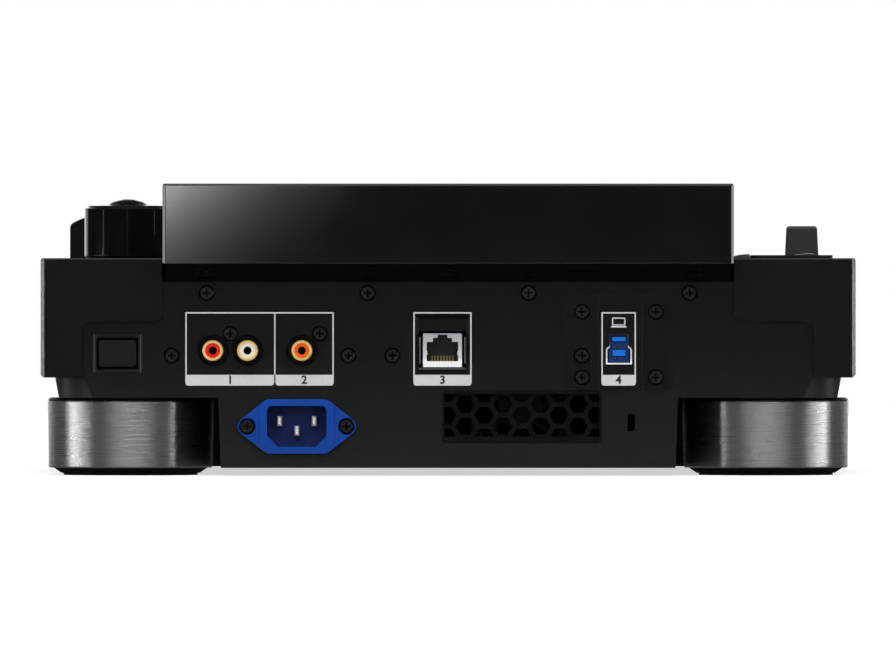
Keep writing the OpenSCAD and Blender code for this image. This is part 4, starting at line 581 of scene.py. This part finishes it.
# Nodes that look unlike the rest of their slot, such as the plate whose edges carry a strong painted highlight
# The switch's guard and button, and the USB plate below, have strong painted highlights along their edges
SWITCH_BLACK = grained("button_black", (0.006, 0.006, 0.0062), 0.45, grain=FINE_GRAIN, depth=0.01, ease=0.3,
                       edge_highlight=6.0, specular=0.24)
KNOB_GLOSS = polished("selector_gloss", (0.0028, 0.0028, 0.0029), 0.03, ease=0.7, specular=0.12)
LEVER_GREY = grained("lever_grey", (0.018, 0.018, 0.019), 0.4, grain=FINE_GRAIN, depth=0.008, ease=0.4)
PLATE_BLACK = grained("plate_black", (0.0022, 0.0022, 0.0023), 0.45, grain=PAINT_GRAIN, depth=0.03, ease=0.3,
                      edge_highlight=8.0, specular=0.29)
GRILLE_BLACK = grained("grille_black", (0.0028, 0.0028, 0.0029), 0.5, grain=PAINT_GRAIN, specular=0.16)
OWN_FINISH = {
    "switch_guard": SWITCH_BLACK,
    "power_button": SWITCH_BLACK,
    "selector_knob": KNOB_GLOSS,
    "direction_lever": LEVER_GREY,
    "usb_plate": PLATE_BLACK,
    "vent_grille": GRILLE_BLACK,
}


def dress_nodes():
    """Gives every CAD node its own finish or that of its record slot."""
    for name, node in NODES.items():
        for index, old in enumerate(node.data.materials):
            made = OWN_FINISH.get(name) or FINISH[old.name.split(".")[0]]
            node.data.materials[index] = made.material


# ---- Pieces made here ----


def linked(name, data):
    """Makes an object from its data and puts it in the scene."""
    made = bpy.data.objects.new(name, data)
    bpy.context.scene.collection.objects.link(made)
    return made


def as_mesh(name, mesh_data):
    """Turns a finished bmesh into mesh data."""
    mesh = bpy.data.meshes.new(name)
    mesh_data.to_mesh(mesh)
    mesh_data.free()
    return mesh


def keep(name, mesh, material, body):
    """Makes mesh data a piece that rides on body."""
    mesh.materials.append(material)
    made = linked(name, mesh)
    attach(made, body)
    return made


def piece(name, mesh_data, material, body="chassis"):
    """Makes a finished bmesh a piece that rides on body."""
    bmesh.ops.recalc_face_normals(mesh_data, faces=mesh_data.faces)
    return keep(name, as_mesh(name, mesh_data), material, body)


def arc(centre, radius, start, end, steps):
    """Points (x, z) on an arc, angles in degrees."""
    made = []
    for index in range(steps + 1):
        angle = math.radians(start + (end - start) * index / steps)
        made.append((centre[0] + radius * math.cos(angle), centre[1] + radius * math.sin(angle)))
    return made


def circle(radius, steps=72):
    return arc((0.0, 0.0), radius, 0.0, 360.0 * (steps - 1) / steps, steps - 1)


def rounded_outline(low_x, low_z, high_x, high_z, top_r, bottom_r, steps=6):
    """Rectangle outline (x, z) with one radius for its upper and one for its lower corners."""
    made = arc((high_x - bottom_r, low_z + bottom_r), bottom_r, -90, 0, steps)
    made += arc((high_x - top_r, high_z - top_r), top_r, 0, 90, steps)
    made += arc((low_x + top_r, high_z - top_r), top_r, 90, 180, steps)
    made += arc((low_x + bottom_r, low_z + bottom_r), bottom_r, 180, 270, steps)
    return made


def add_plate(mesh_data, outline, y, thickness):
    """Adds a flat plate with this (x, z) outline, its back at y."""
    back = [mesh_data.verts.new((x, y, z)) for x, z in outline]
    front = [mesh_data.verts.new((x, y + thickness, z)) for x, z in outline]
    mesh_data.faces.new(back)
    mesh_data.faces.new(front)
    count = len(outline)
    for index in range(count):
        after = (index + 1) % count
        mesh_data.faces.new((back[index], back[after], front[after], front[index]))


def add_ring(mesh_data, outer, inner, y, thickness):
    """Adds a flat band between two outlines with equally many points."""
    count = len(outer)
    rows = []
    for outline, depth in ((outer, y), (outer, y + thickness), (inner, y + thickness), (inner, y)):
        rows.append([mesh_data.verts.new((x, depth, z)) for x, z in outline])
    for row in range(4):
        here, there = rows[row], rows[(row + 1) % 4]
        for index in range(count):
            after = (index + 1) % count
            mesh_data.faces.new((here[index], here[after], there[after], there[index]))


def bar(mesh_data, low_x, low_z, high_x, high_z, radius=0.0, thickness=INK, y=0.0):
    """Adds one flat bar, with rounded corners if radius is more than 0."""
    round_by = max(radius, SHARP)
    outline = rounded_outline(low_x, low_z, high_x, high_z, round_by, round_by, 4 if radius else 1)
    add_plate(mesh_data, outline, y, thickness)


def absorb(mesh_data, other):
    """Moves another bmesh's faces into this one."""
    held = as_mesh("held", other)
    mesh_data.from_mesh(held)
    bpy.data.meshes.remove(held)


def plane(origin, right, up, out):
    """Matrix of a print plane at origin."""
    made = Matrix.Identity(4)
    for column, axis in enumerate((right, up, out, origin)):
        for row in range(3):
            made[row][column] = axis[row]
    return made


def on_rear(x, y, z):
    """Print plane on a face that looks to the rear."""
    return plane((x, y, z), -X_AXIS, Z_AXIS, Y_AXIS)


def on_top(x, y, z):
    """Print plane on a face that looks up, read from the front."""
    return plane((x, y, z), X_AXIS, Y_AXIS, Z_AXIS)


def top_of(node, along=0.0, rise=0.0):
    """Print plane at the middle of a node's top, moved along Y and raised."""
    low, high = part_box(node)
    return on_top((low.x + high.x) / 2, (low.y + high.y) / 2 + along, high.z + rise)


def lay(mesh_data, matrix):
    """Moves a bmesh drawn as (x right, z up, y out) to a print plane."""
    swap = Matrix(((1.0, 0.0, 0.0, 0.0), (0.0, 0.0, 1.0, 0.0), (0.0, 1.0, 0.0, 0.0), (0.0, 0.0, 0.0, 1.0)))
    mesh_data.transform(matrix @ swap)
    return mesh_data


def shift(mesh_data, x, y, z):
    mesh_data.transform(Matrix.Translation((x, y, z)))
    return mesh_data


def number(name, text, size, matrix, material, body="chassis", bold=0.0):
    """Plain number as thin print; matrix takes its plane (x right, y up, z out) to its place."""
    curve = bpy.data.curves.new(name, "FONT")
    curve.body = text
    curve.size = size
    curve.align_x = "CENTER"
    curve.align_y = "CENTER"
    curve.extrude = INK / 2
    curve.offset = bold
    font = bpy.data.objects.new(name + "_font", curve)
    mesh = bpy.data.meshes.new_from_object(font)
    bpy.data.objects.remove(font)
    bpy.data.curves.remove(curve)
    mesh.name = name
    mesh.materials.clear()
    mesh.transform(matrix)
    return keep(name, mesh, material, body)


# ---- Prints and small parts of the rear panel ----


def label_frame(name, left, right, y, divider=None):
    """Thin printed frame with a filled band at its foot; left and right are world X, left the larger."""
    made = bmesh.new()
    spans = [(right, left)]
    if divider is not None:
        spans = [(right, divider - LINE / 2), (divider + LINE / 2, left)]
        bar(made, divider - LINE / 2, BAND_TOP, divider + LINE / 2, FRAME_TOP, y=y)
    for low, high in spans:
        sides = (low if low == right else None, high if high == left else None)
        add_label(made, low, high, sides, y)
    return piece(name, made, WHITE_INK)


def add_label(made, low, high, sides, y):
    """Adds one label's line, open on the side it shares with a divider, and its band."""
    add_plate(made, rounded_outline(low, FRAME_BOTTOM, high, BAND_TOP, SHARP, 1.2 * MM), y, INK)
    add_plate(made, rounded_outline(low, FRAME_TOP - LINE, high, FRAME_TOP, 0.3 * MM, SHARP, 4), y, INK)
    for side, inward in zip(sides, (1, -1)):
        if side is not None:
            near, far = sorted((side, side + inward * LINE))
            bar(made, near, BAND_TOP, far, FRAME_TOP - LINE, y=y)


def label_frames():
    label_frame("audio_frame", 106.1 * MM, 46.2 * MM, PANEL_Y, 69.98 * MM)
    label_frame("network_frame", 14.03 * MM, -9.47 * MM, PANEL_Y)
    label_frame("usb_frame", -61.87 * MM, -75.8 * MM, CHANNEL_Y)


def computer_sign():
    """Small generic computer outline above the USB port."""
    made = bmesh.new()
    low, high = 60.8 * MM, 63.85 * MM
    half, line = 2.7 * MM, 0.5 * MM
    outer = rounded_outline(SIGN_X - half, low, SIGN_X + half, high, 0.5 * MM, 0.1 * MM, 3)
    inner = rounded_outline(SIGN_X - half + line, low + line * 0.6, SIGN_X + half - line, high - line,
                            0.15 * MM, 0.1 * MM, 3)
    add_ring(made, outer, inner, CHANNEL_Y, INK)
    foot = [(SIGN_X - 3.3 * MM, low - 1.0 * MM), (SIGN_X + 3.3 * MM, low - 1.0 * MM),
            (SIGN_X + half, low - 0.2 * MM), (SIGN_X - half, low - 0.2 * MM)]
    add_plate(made, foot, CHANNEL_Y, INK)
    return piece("computer_sign", made, WHITE_INK)


def band_numbers():
    """Plain numbers of the four connector groups, on the bands under them."""
    places = ((88.0, PANEL_Y), (58.1, PANEL_Y), (2.28, PANEL_Y), (-68.84, CHANNEL_Y))
    height = (FRAME_BOTTOM + BAND_TOP) / 2
    for index, (x, y) in enumerate(places):
        number(f"band_number_{index + 1}", str(index + 1), 4.6 * MM, on_rear(x * MM, y + 1.4 * INK, height),
               BLACK_INK, bold=0.14 * MM)


def islands(node):
    """Lowest and highest corner of each separate solid of a node."""
    mesh = bmesh.new()
    mesh.from_mesh(NODES[node].data)
    bmesh.ops.remove_doubles(mesh, verts=mesh.verts, dist=0.002 * MM)
    left = set(mesh.verts)
    found = []
    while left:
        queue = [left.pop()]
        group = []
        while queue:
            vert = queue.pop()
            group.append(vert.co.copy())
            for edge in vert.link_edges:
                other = edge.other_vert(vert)
                if other in left:
                    left.remove(other)
                    queue.append(other)
        found.append((Vector(map(min, zip(*group))), Vector(map(max, zip(*group)))))
    mesh.free()
    return sorted(found, key=lambda box: tuple(box[0]))


def screw_recess_shades():
    """Painted shade: dark sheets at the bottoms of the cross recesses in the panel screws, and of the gaps
    round their heads.
    """
    made = bmesh.new()
    arm, half = 1.45 * MM, 0.27 * MM
    thin = 0.02 * MM
    for low, high in islands("panel_screws"):
        cross = bmesh.new()
        for ends in ((-arm, -half, -half, half), (half, -half, arm, half), (-half, -arm, half, arm)):
            bar(cross, *ends, 0.1 * MM, thin)
        gap = bmesh.new()
        reach = (high.x - low.x) / 2
        add_ring(gap, circle(reach + 0.38 * MM, 40), circle(reach + 0.02 * MM, 40), 0.0, thin)
        for part, sunk in ((cross, 0.0), (gap, 0.5 * MM)):
            absorb(made, shift(part, (low.x + high.x) / 2, high.y - sunk, (low.z + high.z) / 2))
    piece("screw_recess_shades", made, SHADE_BLACK)


def grown(low, high, by, radius):
    """Outline of a box's rear face, grown on all sides."""
    return rounded_outline(low.x - by, low.z - by, high.x + by, high.z + by, radius, radius, 4)


def switch_edge_highlights():
    """Painted shade in the gap round the power button, and painted highlights along the upright edges of its
    guard.
    """
    low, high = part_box("power_button")
    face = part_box("switch_guard")[1].y
    # Painted shade: a dark ring in the gap round the button
    gap = bmesh.new()
    outer = grown(low, high, 1.0 * MM, 0.4 * MM)
    inner = grown(low, high, 0.1 * MM, 0.7 * MM)
    add_ring(gap, outer, inner, face, 0.02 * MM)
    piece("switch_gap_shade", gap, SHADE_BLACK)
    # Painted highlights: thin grey bars on the guard's upright edges
    made = bmesh.new()
    half = 0.14 * MM
    for x in (low.x - 1.9 * MM, high.x + 1.9 * MM):
        bar(made, x - half, low.z - 2.6 * MM, x + half, high.z + 2.6 * MM, 0.1 * MM, 0.05 * MM)
    piece("switch_edge_highlights", shift(made, 0.0, face, 0.0), GREY_INK_AND_HIGHLIGHT)


def lan_edge_highlight():
    """Painted highlight: a grey bar along the foot of the network jack's recess."""
    made = bmesh.new()
    bar(made, LAN_BOX[0].x, 42.85 * MM, LAN_BOX[1].x, 43.4 * MM, 0.1 * MM, 0.3 * MM)
    piece("lan_edge_highlight", shift(made, 0.0, PANEL_Y - 0.9 * MM, 0.0), GREY_INK_AND_HIGHLIGHT)


def usb_contacts():
    """Four gold contacts of the USB-B port, two over and two under its lower tongue."""
    made = bmesh.new()
    for x in (-67.28, -69.78):
        for z in (51.3, 47.2):
            bar(made, (x - 0.45) * MM, z * MM, (x + 0.45) * MM, (z + 0.65) * MM, 0.15 * MM, 5.0 * MM)
    piece("usb_contacts", shift(made, 0.0, USB_INSERT_BOX[1].y - 6.0 * MM, 0.0), DULL_GOLD)


# ---- Prints and small parts of the deck ----


def light_bar(name, key, half, low_y, high_y):
    """Translucent bar on a key's top, placed from its middle."""
    made = bmesh.new()
    bar(made, -half, low_y, half, high_y, 0.55 * MM, 2 * INK)
    piece(name, lay(made, top_of(key)), LIGHT_BAR, key)


def hot_cue_marks():
    """A plain number and a light bar on each hot cue key."""
    for index, key in enumerate(HOT_KEYS):
        number(f"hot_number_{index + 1}", str(index + 1), 6.0 * MM, top_of(key, -1.2 * MM, 0.4 * INK),
               WHITE_INK, key)
        light_bar(f"hot_light_{index + 1}", key, 8.0 * MM, 4.0 * MM, 5.2 * MM)


def key_lights():
    """Light bars on the other small keys."""
    for key in SMALL_KEYS:
        light_bar(key.replace("_button", "_light"), key, 5.0 * MM, -0.6 * MM, 0.6 * MM)


def dish_depth(radius, reach):
    """How far a round key's dished top lies below its edge, at reach from its axis."""
    ball = 3.0 * radius
    return max(0.0, math.sqrt(ball * ball - reach * reach) - ball + 0.4 * MM)


def drape(mesh_data, radius):
    """Lets a symbol drawn round a round key's axis follow its dished top."""
    bmesh.ops.triangulate(mesh_data, faces=[face for face in mesh_data.faces if len(face.verts) > 4])
    bmesh.ops.subdivide_edges(mesh_data, edges=mesh_data.edges[:], cuts=3, use_grid_fill=True)
    for vert in mesh_data.verts:
        vert.co.y -= dish_depth(radius, math.hypot(vert.co.x, vert.co.z))
    return mesh_data


def play_symbol():
    """A triangle and two bars."""
    sign = bmesh.new()
    add_plate(sign, [(-4.6 * MM, -2.6 * MM), (-0.2 * MM, 0.0), (-4.6 * MM, 2.6 * MM)], 0.0, 1.5 * INK)
    for start in (1.1, 3.3):
        bar(sign, start * MM, -2.6 * MM, (start + 1.2) * MM, 2.6 * MM, 0.0, 1.5 * INK)
    return sign


def cue_symbol():
    """A bar and a triangle that points at it."""
    sign = bmesh.new()
    add_plate(sign, [(2.6 * MM, -2.4 * MM), (2.6 * MM, 2.4 * MM), (-1.4 * MM, 0.0)], 0.0, 1.5 * INK)
    bar(sign, -3.0 * MM, -2.4 * MM, -2.0 * MM, 2.4 * MM, 0.0, 1.5 * INK)
    return sign


def round_key_marks():
    """Light ring and symbol of the play key and of the cue key."""
    marks = (("play", "play_button", PLAY_GREEN, play_symbol), ("cue", "cue_button", CUE_AMBER, cue_symbol))
    for name, key, material, symbol in marks:
        low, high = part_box(key)
        reach = (high.x - low.x) / 2 - 1.5 * MM
        made = bmesh.new()
        add_ring(made, circle(reach - 0.9 * MM), circle(reach - 2.5 * MM), 0.0, 2 * INK)
        piece(f"{name}_ring", lay(made, top_of(key)), material, key)
        piece(f"{name}_symbol", lay(drape(symbol(), reach), top_of(key)), WHITE_INK, key)


def tempo_scale():
    """Ticks beside the tempo fader's slot, a longer one at each fifth, and its plus, minus and zero."""
    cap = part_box("tempo_cap")
    centre = middle(cap).y
    start = cap[0].x - 3.2 * MM
    pitch, travel = 5.0 * MM, 50.0 * MM
    made = bmesh.new()
    for step in range(-10, 11):
        at = centre + step * pitch
        reach = (2.4 if step % 5 else 4.2) * MM
        bar(made, start - reach, at - 0.16 * MM, start, at + 0.16 * MM)
    for side in (-1, 1):
        at = centre + side * travel
        bar(made, start - 9.0 * MM, at - 0.22 * MM, start - 6.0 * MM, at + 0.22 * MM)
    upright = centre - travel
    bar(made, start - 7.72 * MM, upright - 1.5 * MM, start - 7.28 * MM, upright + 1.5 * MM, 0.0, 0.9 * INK)
    piece("tempo_scale", lay(made, on_top(0.0, 0.0, DECK_Z)), WHITE_INK)
    zero = on_top(start - 7.5 * MM, centre, DECK_Z + 0.4 * INK)
    number("tempo_zero", "0", 4.0 * MM, zero, WHITE_INK)


def lever_arrows():
    """Two small arrows beside the direction lever."""
    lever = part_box("direction_lever")
    side = lever[1].x + 4.0 * MM
    made = bmesh.new()
    for sign in (-1, 1):
        at = middle(lever).y + sign * 6.0 * MM
        tip = (side, at + sign * 2.8 * MM)
        add_plate(made, [(side - 1.6 * MM, at), (side + 1.6 * MM, at), tip], 0.0, INK)
    piece("lever_arrows", lay(made, on_top(0.0, 0.0, DECK_Z)), WHITE_INK)


def glass_plane():
    """Print plane on the display's sloping glass, its origin at the glass's middle."""
    mesh = NODES["display_glass"].data
    top = max(mesh.polygons, key=lambda face: face.area if face.normal.z > 0.5 else 0.0)
    out = top.normal.copy()
    centre = middle(GLASS_BOX)
    origin = centre + out * (top.center - centre).dot(out)
    return plane(origin, X_AXIS, Vector((0.0, out.z, -out.y)), out)


def screen_border():
    """Thin grey line round the screen's active area."""
    low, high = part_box("display_panel")
    half_w = (high.x - low.x) / 2 - 2.0 * MM
    half_d = (high.y - low.y) / 2 - 2.0 * MM
    made = bmesh.new()
    outlines = []
    for inset, radius in ((0.0, 1.2 * MM), (0.4 * MM, 0.9 * MM)):
        reach_x, reach_y = half_w - inset, half_d - inset
        outlines.append(rounded_outline(-reach_x, -reach_y, reach_x, reach_y, radius, radius, 4))
    add_ring(made, *outlines, 0.0, 0.5 * INK)
    piece("screen_border", lay(made, glass_plane()), GREY_INK_AND_HIGHLIGHT)


def jog_screen_ring():
    """Thin ring and start mark printed inside the glass of the jog wheel's display."""
    low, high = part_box("jog_display")
    reach = (high.x - low.x) / 2
    made = bmesh.new()
    add_ring(made, circle(reach - 2.6 * MM, 96), circle(reach - 3.0 * MM, 96), 0.0, 0.5 * INK)
    bar(made, -0.3 * MM, reach - 6.2 * MM, 0.3 * MM, reach - 3.4 * MM, 0.0, 0.5 * INK)
    piece("jog_screen_ring", lay(made, top_of("jog_display")), GREY_INK_AND_HIGHLIGHT)


def spun(profile, steps):
    """Bmesh of an (r, z) profile turned about Z, closed where the profile meets itself or the axis."""
    made = bmesh.new()
    turns = [2.0 * math.pi * index / steps for index in range(steps)]
    rows = []
    for radius, height in profile:
        if radius == 0.0:
            rows.append([made.verts.new((0.0, 0.0, height))])
        else:
            places = [(radius * math.cos(turn), radius * math.sin(turn), height) for turn in turns]
            rows.append([made.verts.new(place) for place in places])
    for here, there in zip(rows, rows[1:]):
        for index in range(steps):
            after = (index + 1) % steps
            corners = [here[index % len(here)], here[after % len(here)],
                       there[after % len(there)], there[index % len(there)]]
            made.faces.new(list(dict.fromkeys(corners)))
    return made


def selector_collar():
    """Low dark collar on the deck, inside the selector knob's hollow."""
    top = 1.2 * MM
    inner, rim, outer = 12.6 * MM, 14.0 * MM, 14.5 * MM
    profile = [(inner, 0.0), (inner, top), (rim, top), (outer, 0.6 * top), (outer, 0.0), (inner, 0.0)]
    knob = middle(KNOB_BOX)
    made = shift(spun(profile, 64), knob.x, knob.y, DECK_Z)
    bmesh.ops.remove_doubles(made, verts=made.verts, dist=0.001 * MM)
    piece("selector_collar", made, FINISH["knob_black"].material)


def media_lenses():
    """Two small lens domes on the media port's raised plate."""
    for index, (x, reach, rise) in enumerate(((-146.6, 2.9, 0.95), (-142.7, 1.6, 0.5))):
        angles = [math.radians(angle) for angle in range(0, 90, 15)]
        profile = [(reach * MM * math.cos(angle), rise * MM * math.sin(angle)) for angle in angles]
        made = spun([*profile, (0.0, rise * MM)], 40)
        made.faces.new([vert for vert in made.verts if vert.co.z == 0.0])
        shift(made, x * MM, MEDIA_BOX[0].y + 20.0 * MM, MEDIA_BOX[1].z)
        lens = piece(f"media_lens_{index + 1}", made, FINISH["screen_glass"].material)
        for face in lens.data.polygons:
            face.use_smooth = True


# ---- Studio ----


def studio_world():
    """White where the camera, or a ray through glass, looks past the object; dim for the light on it."""
    world = bpy.data.worlds.new("studio")
    world.use_nodes = True
    graph = Graph(world.node_tree)

    def even(strength):
        node = graph.add("ShaderNodeBackground")
        graph.put(node.inputs["Color"], (1.0, 1.0, 1.0, 1.0))
        graph.put(node.inputs["Strength"], strength)
        return node.outputs[0]

    across, along, _ = graph.split(graph.add("ShaderNodeTexCoord").outputs["Generated"])
    behind = graph.remap(along, MIRRORED_DARK, 1.0, -0.86, -0.97, smooth=True)
    walls = graph.remap(graph.math("ABSOLUTE", across), 0.0, SIDE_WALLS, 0.12, 0.4)
    ahead = graph.remap(along, 0.0, 1.0, 0.0, 0.4)
    room = even(graph.math("MULTIPLY_ADD", walls, ahead, behind))
    path = graph.add("ShaderNodeLightPath").outputs
    seen = graph.math("MAXIMUM", path["Is Glossy Ray"], path["Is Transmission Ray"])
    lit = graph.choose(seen, even(0.3), room)
    shown = graph.choose(path["Is Camera Ray"], lit, even(1.0))
    graph.join(shown, graph.add("ShaderNodeOutputWorld").inputs["Surface"])
    bpy.context.scene.world = world


def staged(name, mesh_data, finish):
    """Makes a bmesh a sheet of the studio, which is no part of the object."""
    mesh = as_mesh(name, mesh_data)
    mesh.materials.append(finish.material)
    made = linked(name, mesh)
    return made


def floor():
    """Pale floor that runs into the white background and keeps the object's shadow."""
    finish = Finish("floor_white", grey(0.8), 0.9, specular=0.0)
    x, y, _ = finish.axes()
    path = finish.add("ShaderNodeLightPath").outputs
    finish.set("Emission Color", (1.0, 1.0, 1.0, 1.0))
    glow = finish.remap(finish.length(x, y), 0.6, 1.0, 0.3, 1.0, smooth=True)
    seen = finish.math("MAXIMUM", path["Is Camera Ray"], path["Is Transmission Ray"])
    finish.feed("Emission Strength", finish.product(seen, glow))
    mirrored = finish.add("ShaderNodeEmission")
    finish.join(finish.remap(y, MIRRORED_DARK, 1.0, -0.4, -1.5, smooth=True), mirrored.inputs["Strength"])
    shown = finish.choose(path["Is Glossy Ray"], finish.shader.outputs[0], mirrored.outputs[0])
    finish.join(shown, finish.out.inputs["Surface"])
    made = bmesh.new()
    bmesh.ops.create_circle(made, cap_ends=True, segments=96, radius=4.5)
    staged("floor", made, finish)


def window_sheen():
    """Bright sheet that only mirrors see; it lays the slanting sheen on the display's back."""
    finish = Finish("window_light", grey(0.0), 1.0, specular=0.0)
    finish.set("Emission Color", (1.0, 1.0, 1.0, 1.0))
    x, _, z = finish.axes()
    falls = []
    for place, peak, reach in zip((x, z), SHEEN_PEAK, SHEEN_FALL):
        falls.append(finish.math("DIVIDE", finish.math("SUBTRACT", peak, place), reach))
    fall = finish.math("ADD", *falls)
    strength = finish.product(11.0, finish.math("EXPONENT", finish.product(fall, -1.0)))
    finish.feed("Emission Strength", finish.math("MINIMUM", strength, 13.0))
    top, low = SHEEN_HEIGHTS
    slanting = [(SHEEN_EDGE[0] + SHEEN_LEAN * (SHEEN_EDGE[1] - height), height) for height in (top, low)]
    corners = (slanting[0], (SHEEN_FAR_X, top), (SHEEN_FAR_X, low), slanting[1])
    made = bmesh.new()
    made.faces.new([made.verts.new((across, SHEEN_Y, height)) for across, height in corners])
    sheet = staged("window_sheen", made, finish)
    sheet.visible_camera = False
    sheet.visible_diffuse = False
    sheet.visible_shadow = False
    sheet.visible_transmission = False


def lamp(name, place, aim, size_x, size_y, radiance, glossy=True, diffuse=True):
    """Soft box of an even radiance, hidden from the camera."""
    data = bpy.data.lights.new(name, "AREA")
    data.shape = "RECTANGLE"
    data.size = size_x
    data.size_y = size_y
    data.energy = radiance * size_x * size_y * math.pi
    made = linked(name, data)
    made.location = place
    made.rotation_euler = (Vector(aim) - Vector(place)).to_track_quat("-Z", "Y").to_euler()
    made.visible_camera = False
    made.visible_glossy = glossy
    made.visible_diffuse = diffuse


def around(radius, azimuth):
    """Place (x, y) on a circle round the object; azimuth is in degrees from +Y towards +X."""
    turn = math.radians(azimuth)
    return radius * math.sin(turn), radius * math.cos(turn)


def strip(name, radius, start, end, low, high, radiance, diffuse=True):
    """Upright soft box along a chord between two azimuths, facing the object."""
    first = Vector((*around(radius, start), (low + high) / 2))
    last = Vector((*around(radius, end), (low + high) / 2))
    centre = (first + last) / 2
    lamp(name, centre, (0.0, 0.0, centre.z), (last - first).length, high - low, radiance, diffuse=diffuse)


def lights():
    """Fills that light the object, and strips that its gloss mirrors."""
    rear_low = (0.0, 0.2, 0.05)
    lamp("top_box", (0.0, 0.1, 1.8), (0.0, 0.0, 0.0), 1.8, 1.6, 1.3)
    lamp("front_fill", (0.0, 3.5, 1.0), rear_low, 2.4, 1.6, 5.6, glossy=False)
    lamp("rear_fill", (0.0, -3.5, 1.5), (0.0, -0.2, 0.05), 2.4, 1.6, 4.0, glossy=False)
    lamp("high_front", (0.0, 2.2, 2.3), rear_low, 1.6, 0.8, 1.6)
    near_strips = (  # name, y, z, height and radiance of the lamps just beside the object
        ("edge_strip", DISPLAY_BOX[1].y - 8 * MM, 0.104, 0.04, 5.0),
        ("corner_strip", 0.1966, 0.064, 0.06, 7.0),
    )
    for side in (-1, 1):
        for start, end in SIDE_STRIPS:
            strip("side_strip", 6.0, side * start, side * end, 0.005, 0.05, 20.0)
        for name, y, z, height, radiance in near_strips:
            lamp(name, (side * 0.5, y, z), (0.0, y, z), 0.016, height, radiance, diffuse=False)
        strip("rear_strip", 1.5, side * 128, side * 158, 0.09, 0.15, 1.4)
    for half in CENTRE_STRIPS:
        strip("centre_strip", 5.0, -half, half, 0.0, 0.07, 3.3, diffuse=False)


def camera():
    data = bpy.data.cameras.new("camera")
    data.sensor_width = SENSOR
    data.lens = LENS
    data.clip_start = 0.1
    data.clip_end = 60.0
    made = linked("camera", data)
    made.location = CAMERA_PLACE
    made.rotation_euler = (math.radians(90.0), 0.0, math.radians(180.0))
    bpy.context.scene.camera = made


bpy.context.scene.view_settings.view_transform = "Standard"
camera()
studio_world()
floor()
window_sheen()
lights()
dress_nodes()
label_frames()
computer_sign()
band_numbers()
usb_contacts()
lan_edge_highlight()
switch_edge_highlights()
screw_recess_shades()
selector_collar()
media_lenses()
hot_cue_marks()
key_lights()
round_key_marks()
tempo_scale()
lever_arrows()
screen_border()
jog_screen_ring()
